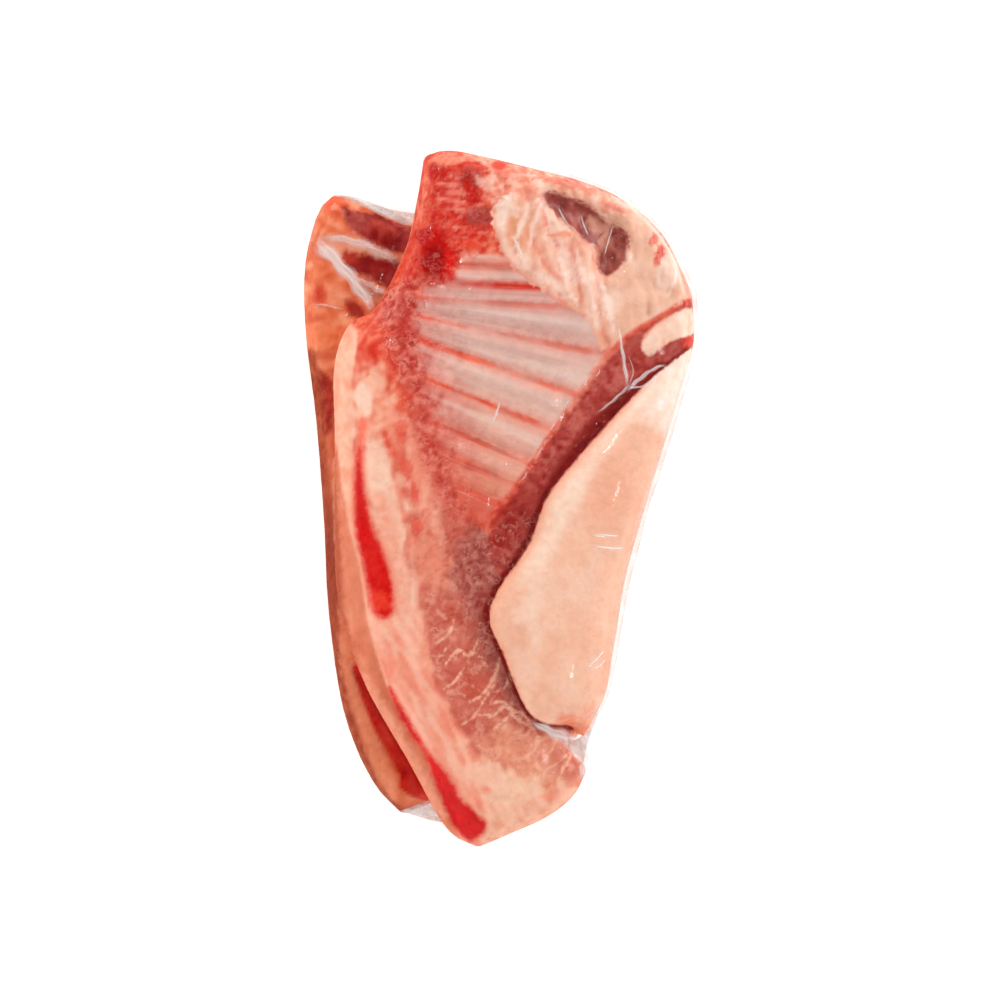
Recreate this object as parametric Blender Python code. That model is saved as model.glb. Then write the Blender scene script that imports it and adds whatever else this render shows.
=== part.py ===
"""A sealed pack of raw skin-on pork ribs, as a Blender 4.5 script.

Two slabs of bone-in belly lie one on the other, skin down, shrink-wrapped in clear film. The front slab
shows its rib side, and its thin belly edge is folded over from the right, skin out. The film lies on the
meat everywhere but in three webs, where it spans a notch between the slabs: those are solids of their own.

The pack lies flat. +X and +Y are the directions of its outline seen from above, and +Z is up. Outlines and
reliefs are drawn in millimetres, and made into metres when a mesh is built.
"""

import math

import bmesh
import bpy
import numpy as np

MM = 0.001
WELD = 0.00002

# Thicknesses of the meat, in millimetres
BACK_THICK = 40.0
BACK_EDGE_ROUND = 15.0
FRONT_THICK_TAIL = 29.0
FRONT_THICK_HEAD = 38.0
FRONT_EDGE_ROUND = 14.0
SEAM_SLOPE = -0.05
CLEARANCE = 0.3

# The front slab grows from its tail's thickness to its head's between these places along Y
THICK_FROM_Y, THICK_TO_Y = -270.0, 20.0

# The cut face down the front slab's left side: the lip at its foot and the width of its slope, along Y
CUT_FACE_Y = (-270.0, -200.0, 40.0, 130.0, 175.0, 270.0)
CUT_FACE_LIP = (8.0, 9.0, 10.0, 12.0, 20.0, 22.0)
CUT_FACE_WIDTH = (24.0, 36.0, 42.0, 34.0, 15.0, 12.0)
CUT_FACE_FULLNESS = 0.9

# The folded belly edge
FLAP_THICK = 24.0
FLAP_SINK = 4.0
FLAP_CROWN = 1.5
FLAP_FOOT = 20.0
FLAP_NOSE_SQUARENESS = 2.3
FLAP_FOLD_SQUARENESS = 2.9

# Rows of the grid across and along each slab, and round and along the flap
FRONT_ROWS = (42, 74)
BACK_ROWS = (24, 44)
FLAP_ROWS = (22, 34)
EDGE_CROWDING = 0.25

# How a slab's side runs from its widest line down to its flat underside: how far in, and how high, both
# as shares of the height of that line
SIDE_RINGS = ((0.03, 0.62), (0.15, 0.24), (0.42, 0.0))

# Webs of film
FILM_THICK = 1.2
LOW_WEB_LEVEL = 33.0
HIGH_WEB_LEVEL = 52.0

# Outlines of the front slab, from bottom to top or from left to right
FRONT_LEFT = (
    (-18, -272), (-42, -257), (-71, -206), (-107, -141), (-126, -79), (-129, -20), (-129, 50), (-129, 105),
    (-117, 137), (-97, 148), (-74, 193), (-65, 230), (-59, 267),
)
FRONT_TOP = ((-59, 267), (-40, 271), (-12, 266), (30, 256), (64, 247), (95, 233), (126, 206), (149, 161))
FRONT_RIGHT = (
    (67, -211), (52, -194), (56, -176), (78, -150), (88, -115), (97, -62), (113, -4), (136, 71), (150, 120),
    (149, 161),
)
FRONT_BOTTOM = ((-18, -272), (5, -262), (36, -248), (57, -231), (67, -211))

# Outlines of the back slab, which shows to the left of the front one
BACK_LEFT = (
    (-77, -247), (-100, -221), (-122, -168), (-134, -90), (-138, -16), (-144, 62), (-152, 128), (-153, 180),
    (-146, 215), (-139, 231), (-131, 238),
)
BACK_TOP = ((-131, 238), (-118, 236), (-96, 225), (-70, 216), (-20, 219), (50, 216), (98, 196), (126, 152))
BACK_RIGHT = ((46, -207), (74, -157), (89, -71), (110, 15), (129, 90), (126, 152))
BACK_BOTTOM = ((-77, -247), (-53, -238), (-16, -232), (23, -223), (46, -207))

# The folded edge's free side and its fold, from the top tip to the bottom tip
FLAP_FREE = (
    (148, 117), (115, 91), (74, 48), (38, 4), (22, -36), (-1, -69), (-9, -92), (2, -120), (19, -161),
    (34, -174), (50, -176), (64, -186),
)
FLAP_FOLD = ((148, 117), (136, 74), (112, -4), (96, -62), (88, -112), (81, -153), (64, -186))

# What lies on the front slab's rib side: the bed of the ribs and the gaps between them, the fat pad with
# its hollow, the band of muscle along the flap, the fat wedge at its end, and the bony head
RIB_BED = (
    (-47, 167), (-4, 179), (37, 157), (64, 141), (76, 118), (44, 58), (10, 5), (-12, -18), (-30, 5),
    (-48, 50), (-66, 118),
)
RIB_GAPS = (
    ((-30, 183), (23, 174)), ((-64, 164), (28, 167)), ((-52, 145), (64, 115)), ((-52, 121), (45, 86)),
    ((-37, 83), (30, 55)), ((-42, 55), (11, 31)), ((-30, 24), (-1, 15)), ((-28, 7), (-4, 0)),
)
FAT_PAD = (
    (-7, 224), (31, 249), (62, 246), (109, 224), (136, 190), (150, 158), (120, 141), (79, 115), (66, 140),
    (23, 168), (-3, 202),
)
HOLLOW = ((30, 238), (70, 229), (96, 210), (100, 190), (84, 173), (76, 182), (72, 200), (46, 219))
MUSCLE_BAND = (
    (149, 154), (99, 126), (67, 88), (24, 26), (-9, -18), (-1, -62), (22, -30), (50, 22), (93, 71),
    (134, 104),
)
FAT_WEDGE = ((110, 119), (130, 139), (150, 143), (150, 126), (118, 112))
BONY_HEAD = (
    (-62, 150), (-74, 193), (-65, 230), (-56, 262), (-12, 262), (22, 250), (-2, 222), (-4, 190), (-30, 180),
)
SIDE_CREASE = ((-113, -48), (-104, -90), (-88, -149), (-59, -204), (-35, -250))
UPPER_STREAK = ((-112, 70), (-108, 23), (-101, -30), (-93, -79))
LOWER_STREAK = ((-87, -150), (-66, -188), (-45, -230), (-20, -262))

# Relief of the rib side: outline, height and width of its shoulder, and line, depth and half width
RIB_BED_DEPTH = 5.0
RIB_BED_SHOULDER = 28.0
PLATEAUS = ((FAT_PAD, 4.0, 14.0), (HOLLOW, -9.0, 12.0), (MUSCLE_BAND, 4.0, 12.0), (FAT_WEDGE, 2.5, 8.0),
            (BONY_HEAD, 3.0, 16.0))
GROOVES = ((SIDE_CREASE, 3.0, 6.0), (UPPER_STREAK, 1.8, 8.0), (LOWER_STREAK, 1.8, 7.0))
RIB_GAP_DEPTH = 2.4
RIB_GAP_HALF_WIDTH = 5.5

# Lean between the ribs of the back slab, left of the front one
BACK_LEAN = (
    ((-123, 229), (-100, 224), (-72, 211), (-75, 196), (-100, 200), (-119, 212)),
    ((-124, 194), (-100, 190), (-82, 185), (-85, 168), (-108, 175)),
)
BACK_LEAN_DEPTH = 2.2

# The film where it spans a notch of the outline
WEB_TOP = (
    (-127, 243), (-125, 241), (-114, 238), (-94, 228), (-72, 219), (-58, 217), (-58, 226), (-67, 229),
    (-87, 232), (-108, 240),
)
WEB_BOTTOM = ((-77, -249), (-58, -255), (-43, -258), (-36, -248), (-41, -238), (-53, -240))
WEB_FLAP = ((69, -209), (73, -190), (80, -171), (76, -171), (67, -188), (57, -192))

MEAT = (0.72, 0.30, 0.22)
DARK_MEAT = (0.62, 0.22, 0.11)
SKIN = (0.85, 0.50, 0.38)
FILM = (0.85, 0.78, 0.74)


def smooth_curve(points, count, closed=False):
    """A curve through the points, as that many places evenly spaced along it."""
    knots = np.array(points, float)
    if closed:
        knots = np.vstack([knots[-1:], knots, knots[:2]])
    else:
        knots = np.vstack([2 * knots[0] - knots[1], knots, 2 * knots[-1] - knots[-2]])
    t = np.linspace(0, 1, 12, endpoint=False)[:, None]
    spans = []
    for a, b, c, d in zip(knots, knots[1:], knots[2:], knots[3:]):
        spans.append(b + 0.5 * t * (c - a + t * (2 * a - 5 * b + 4 * c - d + t * (3 * b - a - 3 * c + d))))
    fine = np.vstack([*spans, knots[-2:-1]])
    along = np.concatenate([[0], np.cumsum(np.linalg.norm(np.diff(fine, axis=0), axis=1))])
    even = np.linspace(0, along[-1], count)
    return np.column_stack([np.interp(even, along, fine[:, axis]) for axis in (0, 1)])


def distance(places, line):
    """How far each place lies from a line of points."""
    line = np.asarray(line, float)
    nearest = np.full(len(places), np.inf)
    for start, run in zip(line[:-1], np.diff(line, axis=0)):
        offset = places - start
        share = np.clip(offset @ run / (run @ run), 0, 1)
        nearest = np.minimum(nearest, np.linalg.norm(offset - share[:, None] * run, axis=1))
    return nearest


def depth_inside(places, outline):
    """How far each place lies inside a closed outline, and below zero outside it."""
    inside = np.zeros(len(places), bool)
    x, y = places[:, 0], places[:, 1]
    for (x0, y0), (x1, y1) in zip(outline[:-1], outline[1:]):
        crosses = (y0 > y) != (y1 > y)
        rise = y1 - y0 if y1 != y0 else 1.0
        inside ^= crosses & (x < (x1 - x0) * (y - y0) / rise + x0)
    return np.where(inside, 1.0, -1.0) * distance(places, outline)


def ease(value):
    """A soft step from 0 to 1."""
    value = np.clip(value, 0, 1)
    return value * value * (3 - 2 * value)


def plateau(places, points, shoulder):
    """1 inside a smooth outline through the points, rising over a soft shoulder at its edge."""
    return ease(depth_inside(places, smooth_curve(points, 90, closed=True)) / shoulder + 0.5)


def groove(places, line, half_width):
    """1 along a line, falling softly to 0 on both sides."""
    return np.exp(-((distance(places, line) / half_width) ** 2))


def lumps(places, size):
    """An uneven surface between -1 and 1, with lumps of about the given size."""
    x, y = places[:, 0] / size, places[:, 1] / size
    coarse = np.sin(2.1 * x + 0.7 * y + 1.3) * np.sin(1.9 * y - 0.9 * x + 0.4)
    fine = np.sin(4.3 * x + 2.9 * y) * np.sin(3.7 * y - 2.3 * x + 2.0)
    return (2 * coarse + fine) / 3


def round_drop(away, radius):
    """How far a rounded edge lies below the full height, at each distance from the outline."""
    near = np.clip(away, 0, radius)
    return radius - np.sqrt(radius**2 - (radius - near) ** 2)


def floor_level(places):
    return np.zeros(len(places))


def seam_level(places):
    """The front slab's underside, a plane that falls a little to the right."""
    return BACK_THICK + CLEARANCE + SEAM_SLOPE * places[:, 0]


def front_top(places):
    """The front slab's rib side: its cut face, its rounded edges and its relief."""
    y = places[:, 1]
    from_left = distance(places, smooth_curve(FRONT_LEFT, 110))
    rest = (FRONT_TOP, FRONT_RIGHT, FRONT_BOTTOM)
    from_rest = np.min([distance(places, smooth_curve(side, 70)) for side in rest], axis=0)
    full = np.interp(y, (THICK_FROM_Y, THICK_TO_Y), (FRONT_THICK_TAIL, FRONT_THICK_HEAD))
    slope = np.clip(from_left / np.interp(y, CUT_FACE_Y, CUT_FACE_WIDTH), 0, 1)
    rise = np.sin(0.5 * math.pi * slope) ** CUT_FACE_FULLNESS
    cut_drop = (full - np.interp(y, CUT_FACE_Y, CUT_FACE_LIP)) * (1 - rise)
    edge_drop = round_drop(from_rest, FRONT_EDGE_ROUND)
    drop = (cut_drop**4 + edge_drop**4) ** 0.25

    bed = depth_inside(places, smooth_curve(RIB_BED, 90, closed=True))
    relief = lumps(places, 24.0) - RIB_BED_DEPTH * ease(bed / RIB_BED_SHOULDER)
    for outline, height, shoulder in PLATEAUS:
        relief += height * plateau(places, outline, shoulder)
    for line, depth, half_width in GROOVES:
        relief -= depth * groove(places, line, half_width)
    for gap in RIB_GAPS:
        relief -= RIB_GAP_DEPTH * groove(places, gap, RIB_GAP_HALF_WIDTH)
    relief += 1.4 * lumps(places, 12.0) * (plateau(places, FAT_PAD, 14.0) + plateau(places, BONY_HEAD, 16.0))
    away_from_edge = ease(np.minimum(from_left, from_rest) / 11.0)
    return seam_level(places) + full - drop + relief * away_from_edge


def back_top(places):
    """The back slab's upper side: flat below the front slab, and uneven where it shows."""
    sides = (BACK_LEFT, BACK_TOP, BACK_RIGHT, BACK_BOTTOM)
    from_edge = np.min([distance(places, smooth_curve(side, 70)) for side in sides], axis=0)
    shows = ease(-depth_inside(places, front_outline()) / 8.0)
    relief = 1.2 + 1.2 * lumps(places, 20.0)
    for patch in BACK_LEAN:
        relief += BACK_LEAN_DEPTH * plateau(places, patch, 8.0)
    return seam_level(places) - CLEARANCE - round_drop(from_edge, BACK_EDGE_ROUND) - relief * shows


def front_outline():
    """The front slab's four sides as one closed outline."""
    sides = (smooth_curve(FRONT_BOTTOM, 40), smooth_curve(FRONT_RIGHT, 100),
             smooth_curve(FRONT_TOP, 60)[::-1], smooth_curve(FRONT_LEFT, 110)[::-1])
    return np.vstack([side[1:] for side in sides] + [sides[0][1:2]])


def mapped_grid(rows, place):
    """A grid of the given rows, each vertex carried to the place that (u, v) from 0 to 1 gives."""
    bm = bmesh.new()
    bmesh.ops.create_grid(bm, x_segments=rows[0], y_segments=rows[1], size=0.5)
    share = np.array([(vert.co.x + 0.5, vert.co.y + 0.5) for vert in bm.verts])
    for vert, spot in zip(bm.verts, place(share[:, 0], share[:, 1])):
        vert.co = spot * MM
    return bm


def crowd(share, amount):
    """Draw rows from 0 to 1 together towards both ends."""
    return share - amount * np.sin(2 * math.pi * share) / (2 * math.pi)


def on_curve(curve, share):
    """The places at these shares of a curve's length."""
    count = np.linspace(0, 1, len(curve))
    return np.column_stack([np.interp(share, count, curve[:, axis]) for axis in (0, 1)])


def between_sides(left, right, bottom, top):
    """A map that fills four sides smoothly: u runs from left to right, and v from bottom to top."""
    west, east, south, north = (smooth_curve(side, 200) for side in (left, right, bottom, top))

    def fill(u, v):
        u = crowd(u, EDGE_CROWDING)
        right_share, top_share = u[:, None], v[:, None]
        left_share, bottom_share = 1 - right_share, 1 - top_share
        across = left_share * on_curve(west, v) + right_share * on_curve(east, v)
        along = bottom_share * on_curve(south, u) + top_share * on_curve(north, u)
        corners = (bottom_share * (left_share * west[0] + right_share * east[0])
                   + top_share * (left_share * west[-1] + right_share * east[-1]))
        return across + along - corners

    return fill


def rim_loop(bm):
    """The open rim's vertices in order, anticlockwise seen from above."""
    links = {}
    for edge in (edge for edge in bm.edges if edge.is_boundary):
        for vert in edge.verts:
            links.setdefault(vert, []).append(edge.other_vert(vert))
    before = next(iter(links))
    loop, here = [before], links[before][0]
    while here is not loop[0]:
        loop.append(here)
        first, second = links[here]
        before, here = here, (first if second is before else second)
    x, y = np.array([vert.co[:2] for vert in loop]).T
    area = np.sum(x * np.roll(y, -1) - y * np.roll(x, -1))
    return loop if area > 0 else loop[::-1]


def close_below(bm, underside):
    """Extrude the rim in and down ring by ring to the flat underside, and fill that."""
    loop = rim_loop(bm)
    rim = np.array([vert.co[:] for vert in loop]) / MM
    outline = rim[:, :2]
    along = np.roll(outline, -2, axis=0) - np.roll(outline, 2, axis=0)
    inward = np.column_stack([-along[:, 1], along[:, 0]]) / np.linalg.norm(along, axis=1)[:, None]
    height = rim[:, 2] - underside(outline)
    edges = [edge for edge in bm.edges if edge.is_boundary]
    number_of = {vert: number for number, vert in enumerate(loop)}
    for inset, share in SIDE_RINGS:
        flat = outline + inward * (inset * height)[:, None]
        level = underside(flat) + share * height
        made = bmesh.ops.extrude_edge_only(bm, edges=edges)["geom"]
        edges = [item for item in made if isinstance(item, bmesh.types.BMEdge)]
        below = {}
        for vert in (item for item in made if isinstance(item, bmesh.types.BMVert)):
            above = [edge.other_vert(vert) for edge in vert.link_edges]
            number = next(number_of[other] for other in above if other in number_of)
            vert.co = (*(flat[number] * MM), level[number] * MM)
            below[vert] = number
        number_of = below
    bmesh.ops.contextual_create(bm, geom=edges)


def material(name, colour, roughness):
    made = bpy.data.materials.new(name)
    made.use_nodes = True
    shader = made.node_tree.nodes["Principled BSDF"]
    shader.inputs["Base Color"].default_value = (*colour, 1.0)
    shader.inputs["Roughness"].default_value = roughness
    shader.inputs["Metallic"].default_value = 0.0
    return made


def hand_over(bm, name, colour, roughness):
    """Weld the mesh, split it into triangles and make it an object of its own material."""
    bmesh.ops.remove_doubles(bm, verts=bm.verts, dist=WELD)
    bmesh.ops.recalc_face_normals(bm, faces=bm.faces)
    bmesh.ops.triangulate(bm, faces=bm.faces)
    mesh = bpy.data.meshes.new(name)
    bm.to_mesh(mesh)
    bm.free()
    mesh.shade_smooth()
    mesh.materials.append(material(name, colour, roughness))
    piece = bpy.data.objects.new(name, mesh)
    bpy.data.collections["rib_pack"].objects.link(piece)
    return piece


def slab(name, rows, sides, top, underside, colour):
    """A slab of meat: its upper side between four outlines, its rounded side and its flat underside."""
    fill = between_sides(*sides)

    def place(u, v):
        flat = fill(u, v)
        return np.column_stack([flat, top(flat)])

    bm = mapped_grid(rows, place)
    close_below(bm, underside)
    return hand_over(bm, name, colour, 0.35)


def flap_place(u, v):
    """The folded edge: u runs round its section, and v from its top tip to its bottom tip.

    Its nose is round and overhangs the rib side. At the fold its waist drops to the front slab's own
    widest line, so that the two make one round edge.
    """
    v = crowd(v, 0.35)
    free = on_curve(smooth_curve(FLAP_FREE, 200), v)
    fold = on_curve(smooth_curve(FLAP_FOLD, 200), v)
    middle, reach = (free + fold) / 2, (fold - free) / 2
    tip = np.sqrt(np.clip(8 * np.minimum(v, 1 - v), 0, 1))
    thick = np.minimum(FLAP_THICK, 1.1 * np.linalg.norm(reach, axis=1)) * tip
    angle = 2 * math.pi * u
    power = 2 / np.where(np.cos(angle) > 0, FLAP_FOLD_SQUARENESS, FLAP_NOSE_SQUARENESS)
    across = np.sign(np.cos(angle)) * np.abs(np.cos(angle)) ** power
    upward = np.sign(np.sin(angle)) * np.abs(np.sin(angle)) ** power
    lies_on = front_top(middle + reach * (0.5 * across - 0.2)[:, None]) - FLAP_SINK
    turn = ease((across - 0.1) / 0.9) * tip
    top = lies_on + thick + FLAP_CROWN * (1 - across**2) * tip
    waist = lies_on + thick / 2 - turn * (FLAP_THICK / 2 + FRONT_EDGE_ROUND - FLAP_SINK)
    foot = lies_on - FLAP_FOOT * turn
    level = waist + upward * np.where(upward > 0, top - waist, waist - foot)
    return np.column_stack([middle + reach * across[:, None], level])


def join(body, extra):
    """One Boolean union, applied, with the joined object removed."""
    union = body.modifiers.new("union", "BOOLEAN")
    union.operation = "UNION"
    union.solver = "EXACT"
    union.object = extra
    bpy.context.view_layer.update()
    joined = bpy.data.meshes.new_from_object(body.evaluated_get(bpy.context.evaluated_depsgraph_get()))
    body.modifiers.clear()
    bpy.data.objects.remove(extra)
    bm = bmesh.new()
    bm.from_mesh(joined)
    bmesh.ops.remove_doubles(bm, verts=bm.verts, dist=WELD)
    bmesh.ops.dissolve_degenerate(bm, edges=bm.edges, dist=WELD)
    bmesh.ops.triangulate(bm, faces=bm.faces)
    bm.to_mesh(body.data)
    bm.free()


def film_web(name, outline, level):
    """A flat web of film: an outline curve, filled and given its thickness."""
    curve = bpy.data.curves.new(name, "CURVE")
    curve.dimensions = "2D"
    curve.fill_mode = "BOTH"
    curve.extrude = FILM_THICK / 2 * MM
    spline = curve.splines.new("POLY")
    spline.points.add(len(outline) - 1)
    for point, (x, y) in zip(spline.points, outline):
        point.co = (x * MM, y * MM, 0, 1)
    spline.use_cyclic_u = True
    guide = bpy.data.objects.new(name + "_outline", curve)
    bpy.context.scene.collection.objects.link(guide)
    bpy.context.view_layer.update()
    bm = bmesh.new()
    bm.from_mesh(bpy.data.meshes.new_from_object(guide.evaluated_get(bpy.context.evaluated_depsgraph_get())))
    bpy.data.objects.remove(guide)
    bmesh.ops.translate(bm, verts=bm.verts, vec=(0, 0, level * MM))
    return hand_over(bm, name, FILM, 0.15)


def centre_on_origin(pieces):
    """Move every mesh so that the pack's box stands on the origin."""
    corners = np.array([vert.co[:] for piece in pieces for vert in piece.data.vertices])
    low, high = corners.min(axis=0), corners.max(axis=0)
    shift = (-(low[0] + high[0]) / 2, -(low[1] + high[1]) / 2, -low[2])
    for piece in pieces:
        bm = bmesh.new()
        bm.from_mesh(piece.data)
        bmesh.ops.translate(bm, verts=bm.verts, vec=shift)
        bm.to_mesh(piece.data)
        bm.free()
    print("The pack measures %.1f x %.1f x %.1f mm" % tuple((high - low) / MM))
    print("It was moved by %.2f, %.2f mm" % (shift[0] / MM, shift[1] / MM))


def build():
    for old in list(bpy.data.objects):
        bpy.data.objects.remove(old)
    bpy.context.scene.collection.children.link(bpy.data.collections.new("rib_pack"))

    back_sides = (BACK_LEFT, BACK_RIGHT, BACK_BOTTOM, BACK_TOP)
    back = slab("back_slab", BACK_ROWS, back_sides, back_top, floor_level, DARK_MEAT)
    front_sides = (FRONT_LEFT, FRONT_RIGHT, FRONT_BOTTOM, FRONT_TOP)
    front = slab("front_slab", FRONT_ROWS, front_sides, front_top, seam_level, MEAT)
    join(front, hand_over(mapped_grid(FLAP_ROWS, flap_place), "flap", SKIN, 0.35))

    webs = [film_web("film_web_top", WEB_TOP, LOW_WEB_LEVEL),
            film_web("film_web_bottom", WEB_BOTTOM, LOW_WEB_LEVEL),
            film_web("film_web_flap", WEB_FLAP, HIGH_WEB_LEVEL)]
    centre_on_origin([back, front, *webs])


build()
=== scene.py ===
# %% [markdown]
# # A sealed pack of raw pork ribs
# Two slabs of bone-in belly lie one on the other in tight clear film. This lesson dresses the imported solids:
# each slab gets its fine relief and is painted region by region, and the film is drawn over both.
# Work goes from the light to the meat and then to the film.

# %% Load the solids
import math

import bpy
import numpy as np
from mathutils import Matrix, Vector, noise


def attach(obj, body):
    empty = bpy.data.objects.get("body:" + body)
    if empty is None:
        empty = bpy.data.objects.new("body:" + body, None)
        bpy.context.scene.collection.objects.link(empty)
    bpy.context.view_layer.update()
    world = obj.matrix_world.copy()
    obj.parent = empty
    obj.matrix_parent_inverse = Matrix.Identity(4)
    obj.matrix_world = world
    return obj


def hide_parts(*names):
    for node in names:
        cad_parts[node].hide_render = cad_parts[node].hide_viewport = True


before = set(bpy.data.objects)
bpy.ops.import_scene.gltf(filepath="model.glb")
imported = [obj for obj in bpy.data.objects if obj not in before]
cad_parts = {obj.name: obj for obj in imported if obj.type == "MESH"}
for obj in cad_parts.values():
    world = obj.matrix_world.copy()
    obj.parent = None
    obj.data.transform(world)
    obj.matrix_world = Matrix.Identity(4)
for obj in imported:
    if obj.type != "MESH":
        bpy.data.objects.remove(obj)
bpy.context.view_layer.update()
bpy.ops.object.select_all(action="DESELECT")
MM = 0.001

# %% [markdown]
# ## Light, floor and camera
# The photo is taken straight from above, from far enough that the pack's sides hardly show. A long lens does
# that. The floor is a white table that is lit from below too, so it drowns nearly all shadows. The sky is a
# white light tent, wide open at the top where the lens looks in: the film then mirrors that dark opening
# straight back, and the meat keeps its deep colours. A polarising filter takes most of the other reflections
# away, which is done here by a sky that mirrors see darker. One large soft lamp stands to the upper right,
# two small ones give the film its sharp glints, and a fourth, which no mirror sees, lights the left side.

# %% Place the camera
LENS = 166.0
SENSOR = 36.0
PHOTO_WIDTH = 0.78
SHARP_LEVEL = 0.06
PHOTO_CENTRE = (0.00098, -0.00027)

camera_data = bpy.data.cameras.new("camera")
camera_data.lens = LENS
camera_data.sensor_width = SENSOR
camera = bpy.data.objects.new("camera", camera_data)
camera.location = (*PHOTO_CENTRE, SHARP_LEVEL + PHOTO_WIDTH * LENS / SENSOR)
bpy.context.scene.collection.objects.link(camera)
bpy.context.scene.camera = camera
print("The camera stands %.2f m above the floor" % camera.location.z)

# %% Lay the floor
FLOOR_SIZE = 12.0
FLOOR_LEVEL = -0.0006

bpy.ops.mesh.primitive_plane_add(size=FLOOR_SIZE, location=(0, 0, FLOOR_LEVEL))
floor = bpy.context.object
floor.name = "floor"
floor_material = bpy.data.materials.new("pale_floor")
floor_material.use_nodes = True
floor_shader = floor_material.node_tree.nodes["Principled BSDF"]
for label, value in (
        ("Base Color", (0.9, 0.9, 0.9, 1.0)), ("Roughness", 0.9), ("Specular IOR Level", 0.0),
        ("Emission Color", (1.0, 1.0, 1.0, 1.0)), ("Emission Strength", 0.5)):
    floor_shader.inputs[label].default_value = value
floor.data.materials.append(floor_material)
floor.visible_glossy = False


# %% Hang the lamps
LAMPS_AIM = (0.0, 0.0, 0.04)


def soft_lamp(name, place, width, watts):
    """A square lamp that looks at the pack."""
    data = bpy.data.lights.new(name, "AREA")
    data.size = width
    data.energy = watts
    lamp = bpy.data.objects.new(name, data)
    lamp.location = place
    direction = lamp.location - Vector(LAMPS_AIM)
    lamp.rotation_euler = direction.to_track_quat("Z", "Y").to_euler()
    bpy.context.scene.collection.objects.link(lamp)
    return lamp


soft_lamp("key_lamp", (1.5, 1.3, 1.6), 1.2, 21.0)
soft_lamp("glint_lamp", (-0.5, 0.9, 1.7), 0.08, 1.9)
soft_lamp("second_glint_lamp", (0.5, -0.4, 1.8), 0.08, 1.3)
fill_lamp = soft_lamp("fill_lamp", (-1.9, 0.1, 1.0), 1.4, 8.0)
fill_lamp.visible_glossy = False

# %% Stretch the light tent
TENT_BRIGHT = 1.6
TENT_OPENING = 0.02
TENT_IN_MIRRORS = 0.2

world = bpy.data.worlds.new("light_tent")
world.use_nodes = True
sky = world.node_tree
background = sky.nodes["Background"]
toward = sky.nodes.new("ShaderNodeTexCoord")
upward = sky.nodes.new("ShaderNodeSeparateXYZ")
sky.links.new(toward.outputs["Generated"], upward.inputs[0])
opening = sky.nodes.new("ShaderNodeMapRange")
opening.interpolation_type = "SMOOTHSTEP"
for label, value in (
        ("From Min", 0.45), ("From Max", 0.85), ("To Min", TENT_BRIGHT), ("To Max", TENT_OPENING)):
    opening.inputs[label].default_value = value
sky.links.new(upward.outputs["Z"], opening.inputs["Value"])
ray = sky.nodes.new("ShaderNodeLightPath")
filtered = sky.nodes.new("ShaderNodeMapRange")
filtered.inputs["To Min"].default_value = 1.0
filtered.inputs["To Max"].default_value = TENT_IN_MIRRORS
sky.links.new(ray.outputs["Is Glossy Ray"], filtered.inputs["Value"])
strength = sky.nodes.new("ShaderNodeMath")
strength.operation = "MULTIPLY"
sky.links.new(opening.outputs["Result"], strength.inputs[0])
sky.links.new(filtered.outputs["Result"], strength.inputs[1])
sky.links.new(strength.outputs[0], background.inputs["Strength"])
background.inputs["Color"].default_value = (1.0, 0.99, 0.98, 1.0)
bpy.context.scene.world = world
bpy.context.scene.view_settings.view_transform = "Standard"

# %% [markdown]
# ## Drawing on the meat
# Every region of the meat is drawn as an outline in millimetres, on the same drawing as the solids. The pack
# was centred on its box when it was built, so the drawing lies a little off the frame.
# For each vertex the distance to an outline is worked out and kept as an attribute. The material turns that
# distance into an edge, and adds noise to it, so an edge looks torn or soft however coarse the mesh is.

# %% Curves and distances
DRAWING_SHIFT = (1.37, 0.51, 0.0)
REACH = 30.0
MERGE_DISTANCE = 0.02


def places_of(mesh):
    """The vertices' places on the drawing, in millimetres."""
    flat = np.empty(len(mesh.vertices) * 3)
    mesh.vertices.foreach_get("co", flat)
    return flat.reshape(-1, 3) / MM - DRAWING_SHIFT


def move_to(mesh, places):
    mesh.vertices.foreach_set("co", ((places + DRAWING_SHIFT) * MM).ravel())
    mesh.update()


def normals_of(mesh):
    flat = np.empty(len(mesh.vertices) * 3)
    mesh.vertex_normals.foreach_get("vector", flat)
    return flat.reshape(-1, 3)


def smooth_curve(points, count, closed=False):
    """A curve through the points, as that many places evenly spaced along it."""
    knots = np.array(points, float)
    if closed:
        knots = np.vstack([knots[-1:], knots, knots[:2]])
    else:
        knots = np.vstack([2 * knots[0] - knots[1], knots, 2 * knots[-1] - knots[-2]])
    t = np.linspace(0, 1, 12, endpoint=False)[:, None]
    spans = []
    for a, b, c, d in zip(knots, knots[1:], knots[2:], knots[3:]):
        spans.append(b + 0.5 * t * (c - a + t * (2 * a - 5 * b + 4 * c - d + t * (3 * b - a - 3 * c + d))))
    fine = np.vstack([*spans, knots[-2:-1]])
    along = np.concatenate([[0], np.cumsum(np.linalg.norm(np.diff(fine, axis=0), axis=1))])
    even = np.linspace(0, along[-1], count)
    return np.column_stack([np.interp(even, along, fine[:, axis]) for axis in range(fine.shape[1])])


def near_to(places, line):
    """Which places lie within reach of the box round a line."""
    low, high = line.min(axis=0) - REACH, line.max(axis=0) + REACH
    return np.all((places[:, :2] > low) & (places[:, :2] < high), axis=1)


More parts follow.
